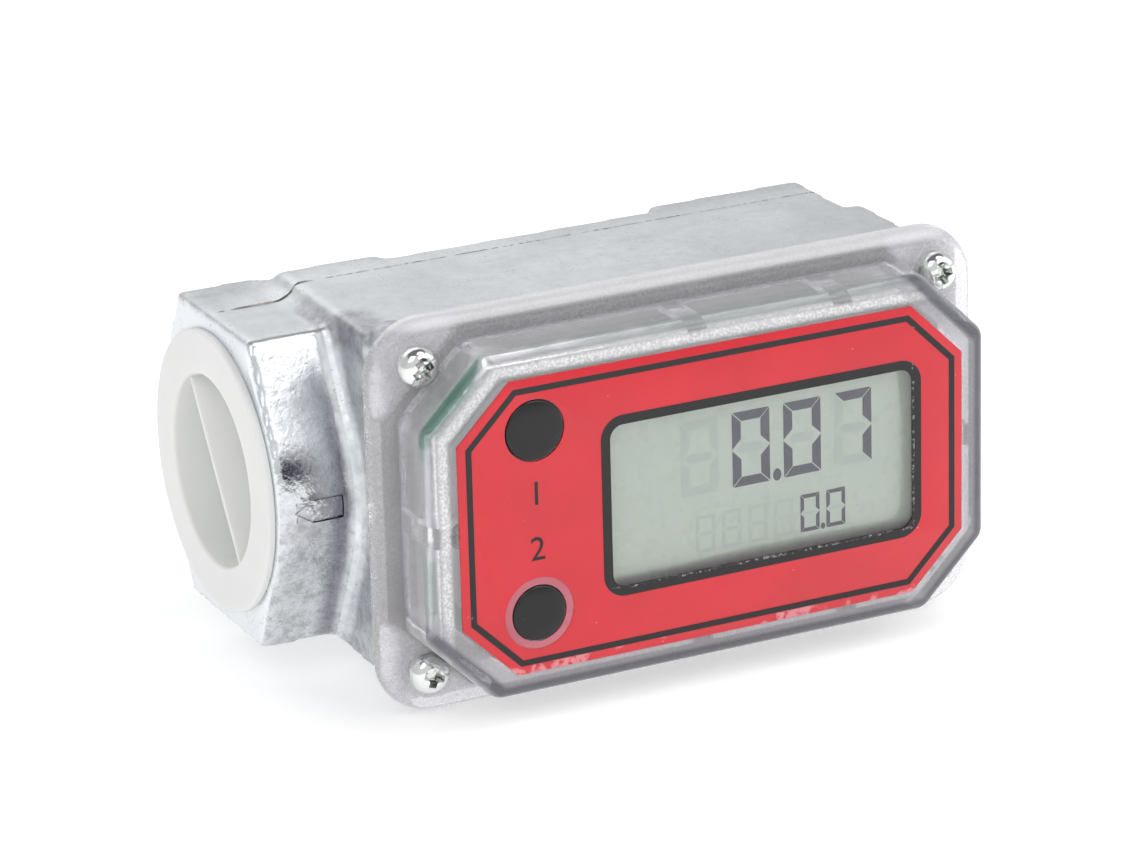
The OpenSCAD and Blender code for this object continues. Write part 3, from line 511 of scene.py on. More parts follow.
class Finish:
    """A material under construction."""

    def __init__(self, name, **constants):
        self.material = bpy.data.materials.new(name)
        self.material.use_nodes = True
        self.tree = self.material.node_tree
        self.shader = self.tree.nodes["Principled BSDF"]
        self.place = self.node("ShaderNodeTexCoord", output="Object")
        self.set(**constants)

    @classmethod
    def of_tree(cls, tree):
        """The same helper for a tree without a shader, such as the studio's."""
        made = cls.__new__(cls)
        made.tree = tree
        made.place = made.node("ShaderNodeTexCoord", output="Generated")
        return made

    def node(self, kind, choices=None, inputs=None, output=0):
        """Adds a node: first its choices, then the values or wires of its sockets."""
        node = self.tree.nodes.new(kind)
        for name, value in (choices or {}).items():
            setattr(node, name, value)
        for name, value in (inputs or {}).items():
            self.plug(node.inputs[name], value)
        return Wire(self, node.outputs[output])

    def plug(self, socket, value):
        """Gives a socket a wire or a constant."""
        if isinstance(value, Wire):
            self.tree.links.new(value.socket, socket)
        elif hasattr(value, "__len__") and len(socket.default_value) == 4 and len(value) == 3:
            socket.default_value = (*value, 1)
        else:
            socket.default_value = value

    def set(self, **values):
        """Sets sockets of the shader: Base_Color stands for Base Color."""
        for name, value in values.items():
            self.plug(self.shader.inputs[name.replace("_", " ")], value)

    def cover(self, factor, **constants):
        """Lays a second shader over the first, as strongly as the factor says."""
        over = self.tree.nodes.new("ShaderNodeBsdfPrincipled")
        for name, value in constants.items():
            self.plug(over.inputs[name.replace("_", " ")], value)
        mixed = self.node("ShaderNodeMixShader", inputs={0: factor})
        node = mixed.socket.node
        self.tree.links.new(self.shader.outputs[0], node.inputs[1])
        self.tree.links.new(over.outputs[0], node.inputs[2])
        self.tree.links.new(mixed.socket, self.tree.nodes["Material Output"].inputs["Surface"])

    def noise(self, scale, detail=3, roughness=0.5, stretch=(1, 1, 1)):
        """Soft noise with features of about 1 / scale metres."""
        spread = self.node("ShaderNodeMapping", inputs={"Vector": self.place, "Scale": stretch})
        return self.node("ShaderNodeTexNoise", inputs={
            "Vector": spread, "Scale": scale, "Detail": detail, "Roughness": roughness})

    def cells(self, scale):
        """Distance to scattered points that lie about 1 / scale metres apart."""
        return self.node("ShaderNodeTexVoronoi", {"feature": "F1"},
                         {"Vector": self.place, "Scale": scale})

    def along(self, axis):
        """The place along an axis, in metres."""
        return self.node("ShaderNodeSeparateXYZ", inputs={"Vector": self.place}, output=axis)

    def past(self, axis, place=0.0):
        """The distance past a place along an axis, in millimetres."""
        return (self.along(axis) - place) * (1 / MM)

    def toward(self, x, y, z):
        """How far the place points in a direction: 1 where it points straight that way."""
        way = Vector((x, y, z)).normalized()
        return self.node("ShaderNodeVectorMath", {"operation": "DOT_PRODUCT"},
                         {0: self.place, 1: way[:]}, output="Value")

    def mix(self, factor, first, second):
        """Mixes two colours."""
        return self.node("ShaderNodeMix", {"data_type": "RGBA"},
                         {0: factor, 6: first, 7: second}, output=2)

    def bump(self, height, strength=0.5, distance=0.05 * MM):
        """Raises the surface by a height."""
        return self.node("ShaderNodeBump", inputs={
            "Height": height, "Strength": strength, "Distance": distance})


def shade(rgb, factor):
    """A colour made darker or lighter."""
    return [min(1, c * factor) for c in rgb]


def cast_finish(name, rgb):
    """Die cast aluminium: satin and mottled, glossy on the port's front, with painted highlights on
    its mouth and front and painted shade.
    """
    sizes = settings().housing
    finish = Finish(name, Metallic=1.0)
    cloud = finish.noise(45, 4, 0.6)
    grain = finish.noise(1500, 3, 0.6)
    dents = finish.noise(850, 3, 0.55)
    mottle = finish.noise(520, 5, 0.75)
    flow = finish.noise(120, 4, 0.6, (0.3, 1, 1))
    specks = finish.noise(2300, 2, 0.7).between(0.56, 0.68) * \
        finish.noise(240, 3).between(0.48, 0.66)
    pits = finish.cells(640).between(0.13, 0.05) * finish.noise(170, 2).between(0.52, 0.66)

    # Where things lie, in millimetres past the outlet's root, the axis and its height
    side = finish.past("X", outlet_root())
    deep = finish.past("Y")
    level = finish.past("Z") + 8 * (cloud - 0.5)
    port = side.between(0.1, -0.9)
    front = deep.between(-11, -13.5)
    back = deep.between(2, 9)
    plain_side = level.between(19, 16)
    mouth = finish.past("X", OUTLET_MOUTH).between(0.3, 0.1)

    # The polished front of the port, with painted shade toward the root and floor and a painted glint
    gloss = port * front * level.between(-3, 4)
    shine = port * front * (1 - 0.75 * level.between(7, 10))
    low = front * level.between(5, -5) * side.between(3, 0)
    dim = port * front * side.between(-4.2, -1.2) * level.between(19, 11)
    glint = shine * (1 - dim) * level.between(6, 9)

    # A painted highlight on the root's bead, painted shade in the hollow beside it, a painted dark
    # reflection in the valley above it
    bead = front * side.band(0.1, 0.4, 0.8, 1.3) * (0.55 + 0.45 * dents.between(0.35, 0.6))
    hollow = deep.between(-12, -15) * side.band(1.6, 2.1, 4, 8)
    valley = level.between(19, 21.5) * deep.between(2, -9) * side.band(-0.8, 0.4, 1.4, 2.6)

    # The pebbled ground inside the arrow
    from_arrow = finish.past("X", OUTLET_MOUTH + sizes.arrow_place).size()
    arrow = front * from_arrow.between(3.4, 3) * finish.past("Z").size().between(1.6, 1.3)
    pebbles = arrow * finish.cells(1150).between(0.1, 0.5)

    ground = finish.mix(cloud.between(0.3, 0.7), shade(rgb, 0.86), shade(rgb, 1.02))
    worn = finish.mix(flow.between(0.5, 0.75) * 0.3, ground, shade(rgb, 0.7))
    # How much the mottling darkens: random stains, deepened as painted shade low on the port, in the
    # hollow, the valley and the back
    stain_and_shade = 0.1 + 0.12 * plain_side + 0.3 * low + 0.35 * hollow + 0.5 * valley + 0.12 * back
    blotchy = finish.mix(mottle.between(0.4, 0.66) * stain_and_shade, worn, shade(rgb, 0.32))
    # Painted shade: the back of the casting is darkened
    back_shade = finish.mix(back * 0.3, blotchy, shade(rgb, 0.45))
    # Painted shade near the root, in the hollow and in the valley, and the darker pebbled ground
    # inside the arrow
    shaded = finish.mix(0.72 * dim + 0.36 * hollow + 0.4 * valley + 0.3 * pebbles, back_shade,
                        (0.19, 0.18, 0.23))
    # Painted highlights on the bead, on the mouth (partly its brighter machined face) and on the
    # port's front
    bright = finish.mix(bead.most(mouth).most(glint), shaded, shade(rgb, 1.08))
    relief = grain * 0.4 + dents * (0.6 + 1.2 * shine) + mottle * (0.5 + low + valley)
    finish.set(
        Base_Color=finish.mix(specks * 0.5 + pits * 0.6, bright, shade(rgb, 0.3)),
        Roughness=0.4 + 0.12 * cloud + 0.1 * grain - 0.15 * shine - 0.12 * bead - 0.08 * low
        - gloss * (0.28 - 0.1 * dents),
        Normal=finish.bump(relief - pebbles - pits * 1.2, 0.4, 0.12 * MM),
    )
    return finish.material


def machined_finish(name, rgb):
    """Cut aluminium, with fine tool marks round the flow axis."""
    finish = Finish(name, Metallic=1.0)
    marks = finish.noise(900, 2, 0.5, (3, 0.15, 0.15))
    finish.set(
        Base_Color=finish.mix(finish.noise(60, 3), shade(rgb, 0.75), shade(rgb, 0.95)),
        Roughness=0.22 + 0.2 * marks,
        Normal=finish.bump(marks, 0.3),
    )
    return finish.material


def clear_finish(name, rgb):
    """Clear moulded plastic, milky and scuffed except in front of the display, with a painted glow,
    highlight, shade and board reflection.
    """
    finish = Finish(name, Base_Color=rgb, Transmission_Weight=1.0, IOR=1.49)
    haze = finish.noise(70, 4, 0.6)
    scuffs = finish.noise(700, 3, 0.6, (0.4, 1, 1))
    grains = finish.noise(2600, 3, 0.6).between(0.38, 0.66)

    # Outside the window, in millimetres
    (left, low), (right, high) = window_corners()
    outside = 1 - finish.past("X", left).between(-1, 0) * finish.past("X", right).between(1, 0) * \
        finish.past("Z", low).between(-1, 0) * finish.past("Z", high).between(1, 0)

    # How far past each side and each cut corner of the raised front
    half_w, half_h = raised_half()
    past_right = finish.past("X", MIDDLE.x + half_w)
    past_left = 0 - finish.past("X", MIDDLE.x - half_w)
    past_top = finish.past("Z", MIDDLE.z + half_h)
    past_low = 0 - finish.past("Z", MIDDLE.z - half_h)
    cut = settings().cover.corner_cut / MM
    shaded_side = past_right.most(past_low)
    for first, second in ((past_right, past_top), (past_right, past_low), (past_left, past_low)):
        shaded_side = shaded_side.most((first + second + cut) * math.sqrt(0.5))
    corner = (past_left + past_top + cut) * math.sqrt(0.5)
    lit_side = past_top.most(past_left).most(corner)

    # Painted light on the raised front's edges: a painted reflection of the board's green on the lit
    # sides, painted slate shade on the shaded ones, and a painted sparkling highlight streak
    skin = finish.past("Y", cover_low.y).between(3, 2.2)
    board_reflection = skin * lit_side.between(-1.2, -0.8) * finish.noise(75, 2).between(0.4, 0.52) * \
        (0.6 + 0.5 * corner.between(-2, -1))
    # Painted shade: darker slate along the right and lower sides
    slate_shade = skin * (0.45 * shaded_side.between(-4.6, -3.6) + 0.5 * shaded_side.between(-2.8, -1.7)) * \
        (1 - 0.3 * shaded_side.between(-0.9, -0.2))
    # A painted highlight: a sparkling streak along the lit sides
    streak_highlight = skin * lit_side.band(-3.5, -2.6, -2.2, -1.2)
    flange = finish.past("Y", cover_high.y).between(-3.3, -3)
    # The flange's top rim, hazier and lighter: partly haze, partly painted light from above
    rim = flange * finish.past("Z", cover_high.z).between(-2.4, -1.2)

    finish.set(
        Roughness=0.03 + outside * (0.08 * haze.between(0.4, 0.75) + 0.07 * scuffs.between(0.55, 0.8)),
        Normal=finish.bump(finish.noise(160, 2) + 0.3 * scuffs + 0.2 * finish.noise(1800, 2),
                           0.28, 0.1 * MM),
    )
    milk_and_glow = outside * (0.1 + 0.1 * haze + 0.05 * grains) + streak_highlight * (0.3 + 0.24 * grains) + \
        0.09 * flange
    reflection_tinted = finish.mix(board_reflection, shade(rgb, 0.94), (0.03, 0.2, 0.13))
    # The milky layer: haze with a faint glow that is painted light, carrying the painted highlight,
    # shade and board reflection
    finish.cover(milk_and_glow + 0.5 * slate_shade + 0.3 * rim + 0.3 * board_reflection,
                 Base_Color=finish.mix(slate_shade, reflection_tinted, (0.1, 0.105, 0.13)), Roughness=0.35,
                 Emission_Color=finish.mix(slate_shade.most(board_reflection), shade(rgb, 1), (0, 0, 0)),
                 Emission_Strength=0.12)
    return finish.material


def label_finish(name, rgb):
    """Glossy printed film, with a little dust and uneven ink."""
    finish = Finish(name, Coat_Weight=0.5, Coat_Roughness=0.12)
    uneven = finish.noise(90, 3)
    dust = finish.cells(420).between(0.06, 0.03) * finish.noise(140, 2).between(0.46, 0.58)
    ground = finish.mix(uneven.between(0.25, 0.75), shade(rgb, 0.93), shade(rgb, 1.05))
    edge = finish.past("Z", label_low.z).between(1.5, 0.9)
    worn = edge * finish.noise(150, 2).between(0.53, 0.57) * finish.noise(1300, 3).between(0.3, 0.55)
    finish.set(
        Base_Color=finish.mix((dust * 0.5).most(worn * 0.55), ground, (0.86, 0.42, 0.46)),
        Roughness=0.34 + 0.12 * finish.noise(500, 2),
        Normal=finish.bump(finish.noise(260, 2), 0.1),
    )
    return finish.material


def plain_finish(name, rgb, roughness, metallic=0.0, grain=900, relief=0.15, spread=0.12,
                 **constants):
    """A plain moulded, plated or painted finish with a faint grain."""
    finish = Finish(name, Metallic=metallic, **constants)
    fine = finish.noise(grain, 3, 0.6)
    broad = finish.noise(grain / 12, 3)
    finish.set(
        Base_Color=finish.mix(broad.between(0.3, 0.7), shade(rgb, 1 - spread), shade(rgb, 1)),
        Roughness=roughness - 0.08 + 0.16 * fine,
        Normal=finish.bump(fine, relief),
    )
    return finish.material


# Pieces


def odd_turn():
    """A turn that leaves no flat side of the casting along the steps of its rebuilding."""
    turned = Matrix.Identity(3)
    for amount, axis in ((0.6, "X"), (0.5, "Y"), (0.7, "Z")):
        turned = turned @ Matrix.Rotation(amount, 3, axis)
    return turned


class FLOWMETER_OT_housing(Operator):
    """Casts the housing with soft edges, its parting line and the mark on its arrow"""
    bl_idname = "flowmeter.housing"
    bl_label = "Turbine housing"

    def execute(self, context):
        sizes = settings().housing
        colours = settings().colours
        cast = cast_finish("cast_aluminium", colours.aluminium)
        shape = bmesh.new()
        shape.from_mesh(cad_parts["turbine_housing"].data)
        bmesh.ops.remove_doubles(shape, verts=shape.verts, dist=2 * TINY)
        self.widen_bores(shape, sizes)
        self.slope_root(shape, sizes)
        askew = odd_turn()
        bmesh.ops.rotate(shape, matrix=askew, verts=shape.verts)
        soft = modified(shape, "REMESH", mode="VOXEL", voxel_size=sizes.grain)
        for _ in range(sizes.softening):
            bmesh.ops.smooth_vert(soft, verts=soft.verts, factor=0.5, use_axis_x=True,
                                  use_axis_y=True, use_axis_z=True)
        bmesh.ops.rotate(soft, matrix=askew.transposed(), verts=soft.verts)
        soft = modified(soft, "DECIMATE", ratio=sizes.thinning)
        surface = BVHTree.FromBMesh(soft)
        # The arrow's outline: glossier than the cast, and brightened as a painted highlight
        raised = plain_finish("arrow_metal_highlight", shade(colours.aluminium, 1.15), 0.22, 1.0, grain=1500,
                              relief=0.5)
        # The foot is a dark ring round the outline: a painted shadow along its edges
        foot = plain_finish("arrow_shade", shade(colours.aluminium, 0.5), 0.5, 0.4, grain=1500)
        seams = together([self.flash(surface, side, sizes) for side in (1, -1)])
        for name, piece, finish, replaces, sharp in (
                ("turbine_casting", soft, cast, ["turbine_housing"], 180),
                ("parting_flash", seams, self.flash_finish(colours.flash), (), 60),
                ("arrow_outline", self.arrow(surface, sizes, 0, sizes.arrow_rise), raised, (), 25),
                ("arrow_shadow_foot", self.arrow(surface, sizes, sizes.foot_spread, sizes.foot_rise),
                 foot, (), 5)):
            add_piece(name, piece, finish, replaces=replaces, sharp=sharp)
        return {"FINISHED"}

    def flash_finish(self, rgb):
        """Stained metal, brown beside the outlet's root and grey elsewhere."""
        finish = Finish("flash_metal", Metallic=1.0)
        near = finish.past("X", outlet_root()).band(-7, -1, 2, 5)
        spots = finish.noise(700, 3).between(0.35, 0.65)
        grey = finish.mix(spots, (0.14, 0.14, 0.14), (0.42, 0.42, 0.42))
        brown = finish.mix(spots, shade(rgb, 0.35), shade(rgb, 1.5))
        finish.set(
            Base_Color=finish.mix(near, grey, brown),
            Roughness=0.3 + 0.2 * spots,
            Normal=finish.bump(finish.noise(1500, 2), distance=0.1 * MM),
        )
        return finish.material

    def flash(self, surface, side, sizes):
        """A thin uneven ridge along the casting, where the two halves of its mould met."""
        dice = random.Random(7 + side)
        reach = housing_high.z * 2
        step = 0.5 * MM
        margin = 0.8 * MM
        sunk = 0.1 * MM
        heavy_before, heavy_past = 7 * MM, 4 * MM  # the outlet's root
        count = int((INLET_MOUTH - OUTLET_MOUTH - 2 * margin) / step)
        shape = bmesh.new()
        end = None
        for i in range(count):
            x = OUTLET_MOUTH + margin + i * step
            found = surface.ray_cast(Vector((x, sizes.seam_behind, side * reach)),
                                     Vector((0, 0, -side)))[0]
            heavy = -heavy_before < x - outlet_root() < heavy_past
            wide = sizes.seam_rise * dice.uniform(0.7, 1.2) * (1.8 if heavy else 1)
            high = sizes.seam_rise * dice.uniform(0.6, 1) * (1.3 if heavy else 0.6)
            if not heavy and dice.random() < 0.35:
                high = 0
            row = [shape.verts.new((x, sizes.seam_behind + across, found.z + side * up))
                   for across, up in ((-wide, -sunk), (0, high), (wide, -sunk))]
            if end is None:
                shape.faces.new(row)
            else:
                for j in range(3):
                    shape.faces.new([end[j], end[j - 1], row[j - 1], row[j]])
            end = row
        shape.faces.new(end)
        bmesh.ops.recalc_face_normals(shape, faces=shape.faces)
        return shape

    def arrow(self, surface, sizes, spread, rise_out):
        """The outline of the flow arrow, spread to both sides, on the rounded front of the port."""
        middle = OUTLET_MOUTH + sizes.arrow_place
        half = sizes.arrow_length / 2 + spread
        rise = sizes.arrow_height / 2 + spread
        neck = -0.3 * half
        soft = 0.13 * MM
        shape = bmesh.new()
        outline = [(-half, 0), (neck, -rise), (half, -rise), (half, rise), (neck, rise)]
        shape.faces.new([shape.verts.new((middle + x, 0, z)) for x, z in outline])
        hollow_out(shape, sizes.arrow_line + 2 * spread)
        bmesh.ops.subdivide_edges(shape, edges=shape.edges[:], cuts=3, use_grid_fill=True)
        thicken(shape, 0, sizes.arrow_sunk)
        round_edges(shape, soft, 2, lambda e: e.calc_face_angle(0) > 1
                    and all(abs(v.co.y) < TINY for v in e.verts))
        for vert in shape.verts:
            found = surface.ray_cast(Vector((vert.co.x, 3 * cover_low.y, vert.co.z)),
                                     Vector((0, 1, 0)))[0]
            vert.co.y += found.y - rise_out
        bmesh.ops.recalc_face_normals(shape, faces=shape.faces)
        return shape

    def slope_root(self, shape, sizes):
        """Turns the step at the outlet's root into a slope, and draws its back corners in."""
        clear_of_root, inlet_half = 5 * MM, 50 * MM
        back_corner, rear = 9 * MM, -20 * MM
        near = 0.05 * MM
        port = max(v.co.z for v in shape.verts if v.co.x < outlet_root() - clear_of_root)
        body = max(v.co.z for v in shape.verts if abs(v.co.x) < inlet_half)
        for vert in shape.verts:
            high = abs(vert.co.z)
            from_root = (vert.co.x - outlet_root()) / MM
            at_root = -0.2 < from_root < 2.5 and vert.co.y > rear
            if not at_root or high < port + near:
                continue
            if from_root < 0.2:
                vert.co.yz = vert.co.yz * (port / high)
            elif vert.co.y > back_corner:
                vert.co.yz = vert.co.yz * sizes.root_draw
            elif from_root < 2:
                vert.co.x += sizes.root_slope * (high - port) / (body - port)

    def widen_bores(self, shape, sizes):
        """Makes room for the threads round both bores."""
        root = sizes.thread_radius + sizes.thread_depth + sizes.thread_gap
        reach = 1.05 * sizes.thread_length
        near = 0.05 * MM
        bore = []
        for vert in shape.verts:
            off_wall = abs(math.hypot(vert.co.y, vert.co.z) - sizes.thread_radius)
            from_mouth = min(vert.co.x - OUTLET_MOUTH, INLET_MOUTH - vert.co.x)
            if off_wall < near and from_mouth < reach:
                bore.append(vert)
        wider = root / sizes.thread_radius
        bmesh.ops.scale(shape, vec=(1, wider, wider), verts=bore)


class FLOWMETER_OT_threads(Operator):
    """Cuts the pipe threads of both ports"""
    bl_idname = "flowmeter.threads"
    bl_label = "Pipe threads"

    def execute(self, context):
        finish = machined_finish("thread_metal", settings().colours.aluminium)
        add_piece("outlet_thread", self.thread(1), finish)
        add_piece("inlet_thread", self.thread(-1), finish)
        return {"FINISHED"}

    def thread(self, side):
        """A sleeve with a helical thread inside, from the mouth of a port inwards."""
        sizes = settings().housing
        pitch = sizes.thread_pitch
        crest = sizes.thread_radius
        root = crest + sizes.thread_depth
        outer = root + sizes.thread_wall
        turns = math.ceil(sizes.thread_length / pitch) + 2
        merged, short = 0.01 * MM, 0.1 * MM
        shape = bmesh.new()
        profile = [(0, crest), (0.12, crest), (0.5, root), (0.62, root), (1, crest)]
        verts = [shape.verts.new((part * pitch, 0, radius)) for part, radius in profile]
        for pair in zip(verts, verts[1:]):
            shape.edges.new(pair)
        per_turn = ROUND // 2
        bmesh.ops.spin(shape, geom=shape.verts[:] + shape.edges[:], cent=(0, 0, 0), axis=(1, 0, 0),
                       dvec=(pitch / per_turn, 0, 0), angle=2 * math.pi * turns,
                       steps=per_turn * turns, use_merge=False)
        bmesh.ops.remove_doubles(shape, verts=shape.verts, dist=merged)
        start = 1.5 * pitch
        ends = (start, start + sizes.thread_length - short)
        for end, way in zip(ends, (-1, 1)):
            bmesh.ops.bisect_plane(shape, geom=shape.verts[:] + shape.edges[:] + shape.faces[:],
                                   plane_co=(end, 0, 0), plane_no=(way, 0, 0), clear_outer=True)
        rims = [edge for edge in shape.edges if edge.is_boundary]
        made = bmesh.ops.extrude_edge_only(shape, edges=rims)
        for vert in [item for item in made["geom"] if isinstance(item, bmesh.types.BMVert)]:
            reach = outer / math.hypot(vert.co.y, vert.co.z)
            vert.co.y *= reach
            vert.co.z *= reach
        rims = [edge for edge in shape.edges if edge.is_boundary]
        bmesh.ops.bridge_loops(shape, edges=rims)
        move(shape, (-start, 0, 0))
        if side < 0:
            turn(shape, math.pi, "Z")
        mouth = OUTLET_MOUTH if side > 0 else INLET_MOUTH
        bmesh.ops.recalc_face_normals(shape, faces=shape.faces)
        return move(shape, (mouth + side * sizes.thread_inset, 0, 0))


class FLOWMETER_OT_cover(Operator):
    """Moulds the clear cover with its raised front, ribs, posts and holes"""
    bl_idname = "flowmeter.cover"
    bl_label = "Clear cover"

    def execute(self, context):
        sizes = settings().cover
        steps = settings().stage.steps
        front = cover_low.y
        back = cover_high.y
        middle = (MIDDLE.x, MIDDLE.z)
        raised_w, raised_h = (2 * half for half in raised_half())
        short, inner_edge = 0.5 * MM, 0.5 * MM
        corners = [(sizes.corner_cut, 1), (sizes.corner_round, steps)]
        trim = sizes.flange_trim
        flange = new_plate(cover_high.x - cover_low.x - trim, cover_high.z - cover_low.z - 2 * trim,
                           back - sizes.flange, back, [(sizes.flange_corner, 12)],
                           sizes.flange_edge, steps, (MIDDLE.x - trim / 2, MIDDLE.z))
        raised = new_plate(raised_w, raised_h, front, back - short, corners,
                           sizes.edge, steps, middle)
        for vert in raised.verts:
            if vert.co.y > back - 2 * short:
                vert.co.x += math.copysign(sizes.draft, vert.co.x - MIDDLE.x)
                vert.co.z += math.copysign(sizes.draft, vert.co.z - MIDDLE.z)
        inner_w = raised_w - 2 * sizes.wall
        inner_h = raised_h - 2 * sizes.wall
        inner_cut = sizes.corner_cut - sizes.wall * (2 - math.sqrt(2))
        hollow = new_plate(inner_w, inner_h, front + sizes.wall, back + OVERRUN,
                           [(inner_cut, 1), (sizes.corner_round / 2, 2)], inner_edge, 2, middle)
        cover = carve(carve(flange, [raised], "UNION"), [hollow])
        cover = carve(cover, self.ribs(sizes, inner_w, inner_h, front, back), "UNION")
        cover = carve(cover, self.holes(sizes, front, back))
        clear = clear_finish("clear_plastic", settings().colours.plastic)
        add_piece("moulded_cover", cover, clear, replaces=["clear_cover"],
                  sharp=35)
        return {"FINISHED"}

    def ribs(self, sizes, inner_w, inner_h, front, back):
        """The ribs that centre the board, and the two posts that carry it."""
        sunk, short = 0.3 * MM, 0.2 * MM
        inside = front + sizes.wall - sunk
        end = back - short
        deep = sizes.rib_reach + sizes.rib_bite
        made = []
        for side in (-1, 1):
            at = MIDDLE.x + side * (inner_w - sizes.rib_reach + sizes.rib_bite) / 2
            made.append(new_plate(deep, sizes.rib_width, inside, end, place=(at, MIDDLE.z)))
            for x in (-sizes.rib_left, sizes.rib_right):
                at = MIDDLE.z + side * (inner_h - sizes.rib_reach + sizes.rib_bite) / 2
                made.append(new_plate(sizes.rib_width, deep, inside, end, place=(MIDDLE.x + x, at)))
            at = MIDDLE.x + side * (inner_w / 2 - sizes.post_inset)
            made.append(move(new_rod(sizes.post, inside, board_low.y, 32), (at, 0, MIDDLE.z)))
        return made

    def holes(self, sizes, front, back):
        """Drills for the screws and the buttons."""
        screw_deep, button_deep = 5 * MM, 4 * MM
        made = [move(new_rod(sizes.hole, back - screw_deep, back + OVERRUN, 32), place)
                for place in screw_places()]
        for button in ("display_button", "calibrate_button"):
            middle, radius = button_place(button)
            drill = new_rod(radius + sizes.button_gap, front - OVERRUN, front + button_deep, 48)
            made.append(move(drill, middle))
        return made


def raised_half():
    """Half the width and half the height of the cover's raised front."""
    reach = settings().cover.gasket_reach
    return ((gasket_high.x - gasket_low.x) / 2 - reach, (gasket_high.z - gasket_low.z) / 2 - reach)


def window_corners():
    """The lower left and the upper right corner of the label's window, as (x, z)."""
    sizes = settings().label
    x = MIDDLE.x + sizes.window_right
    z = MIDDLE.z + sizes.window_up
    half = (sizes.window_width / 2, sizes.window_height / 2)
    return (x - half[0], z - half[1]), (x + half[0], z + half[1])


def outlet_root():
    """Where the outlet's wrench section meets the body, along the flow."""
    return OUTLET_MOUTH + settings().housing.root_place


def screw_places():
    """The four places of the cover screws, on y = 0."""
    head = settings().fastener.head
    x = (screws_high.x - screws_low.x) / 2 - head
    z = (screws_high.z - screws_low.z) / 2 - head
    return [MIDDLE + Vector((sx * x, 0, sz * z)) for sx in (-1, 1) for sz in (-1, 1)]


def button_place(node):
    """The middle of a button on y = 0, and the radius of its cap inside its rim."""
    low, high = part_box(node)
    radius = (high.x - low.x) / 2 - settings().cover.button_rim
    return Vector(((low.x + high.x) / 2, 0, (low.z + high.z) / 2)), radius


class FLOWMETER_OT_label(Operator):
    """Prints the label: a red ground, its black lines and a plain number at each button"""
    bl_idname = "flowmeter.label"
    bl_label = "Label"

    def execute(self, context):
        sizes = settings().label
        self.ground(sizes)
        self.film(sizes)
        self.lines(sizes)
        return {"FINISHED"}

    def ground(self, sizes):
        """The red film, with the window and both button holes punched out."""
        front = label_low.y
        edge = 0.06 * MM
        ground = new_plate(label_high.x - label_low.x, label_high.z - label_low.z, front,
                           label_high.y, [(sizes.corner_cut, 1)], edge, 2,
                           (MIDDLE.x, MIDDLE.z))
        above, below = front - OVERRUN, front + OVERRUN
        tools = [new_plate(sizes.window_width, sizes.window_height, above, below,
                           [(sizes.window_corner, 8)],
                           place=(MIDDLE.x + sizes.window_right, MIDDLE.z + sizes.window_up))]
        gap = settings().cover.button_gap
        for node, spare in (("display_button", gap), ("calibrate_button", sizes.film)):
            place, radius = button_place(node)
            tools.append(move(new_rod(radius + spare, above, below, 64), place))
        add_piece("printed_label", carve(ground, tools),
                  label_finish("label_red", settings().colours.label),
                  replaces=["face_label"], sharp=30)

    def film(self, sizes):
        """The bare film round the lower button."""
        place, radius = button_place("calibrate_button")
        gap, sunk = 0.1 * MM, 0.1 * MM
        inner = radius + gap
        outer = radius + sizes.film
        top = label_low.y + sunk
        film = new_turned([(inner, top, 0), (inner, label_high.y, 0), (outer, label_high.y, 0),
                           (outer, top, 0), (inner, top, 0)])
        clear = plain_finish("film_ring", settings().colours.film, 0.25, spread=0.2, grain=500,
                             Alpha=0.75)
        add_piece("film_ring", move(film, place), clear, sharp=30)

    def lines(self, sizes):
        """The border line, the line round the window and the numbers."""
        inset = sizes.border_inset
        cut = sizes.corner_cut - inset * (2 - math.sqrt(2))
        ink = label_low.y - sizes.ink
        border = new_ring(label_high.x - label_low.x - 2 * inset,
                          label_high.z - label_low.z - 2 * inset, sizes.border_line, ink,
                          label_low.y + sizes.ink_sunk, [(cut, 1)], (MIDDLE.x, MIDDLE.z))
        line = sizes.window_line
        over = 0.04 * MM  # past the window's edge
        around = new_ring(sizes.window_width + 2 * line, sizes.window_height + 2 * line,
                          line + over, ink, label_high.y,
                          [(sizes.window_corner + line, 10)],
                          (MIDDLE.x + sizes.window_right, MIDDLE.z + sizes.window_up))
        figures = [self.figure("1", "display_button", -1), self.figure("2", "calibrate_button", 1)]
        add_piece("label_lines", together([border, around, *figures]),
                  self.ink_finish(settings().colours.ink), sharp=30)

    def figure(self, value, button, side):
        """A plain printed number above or below its button."""
        sizes = settings().label
        face = bpy.data.curves.new("figure", "FONT")
        face.body = value
        face.size = sizes.figure_height / sizes.figure_share
        face.align_x = "CENTER"
        face.align_y = "CENTER"
        item = bpy.data.objects.new("figure", face)
        bpy.context.scene.collection.objects.link(item)
        shape = with_modifiers(item)
        bpy.data.objects.remove(item)
        bpy.data.curves.remove(face)
        bmesh.ops.remove_doubles(shape, verts=shape.verts, dist=TINY)
        turn(shape, math.pi / 2, "X")
        thicken(shape, label_low.y - sizes.ink, label_low.y + sizes.ink_sunk)
        place, _ = button_place(button)
        return move(shape, place + Vector((0, 0, side * sizes.figure_off)))

    def ink_finish(self, rgb):
        """Black ink, with light flecks where the film is cut roughly round the window."""
        finish = Finish("label_ink", Coat_Weight=0.1)
        (_, low), (right, _) = window_corners()
        cut = finish.past("X", right).most(0 - finish.past("Z", low))
        flecks = cut.band(-0.2, 0, 0.2, 0.35) * finish.noise(1900, 3, 0.7).between(0.55, 0.62)
        fine = finish.noise(700, 3, 0.6)
        finish.set(
            Base_Color=finish.mix(flecks * 0.6, shade(rgb, 1), (0.5, 0.5, 0.5)),
            Roughness=0.24 + 0.16 * fine,
            Normal=finish.bump(fine + flecks, 0.2),
        )
        return finish.material


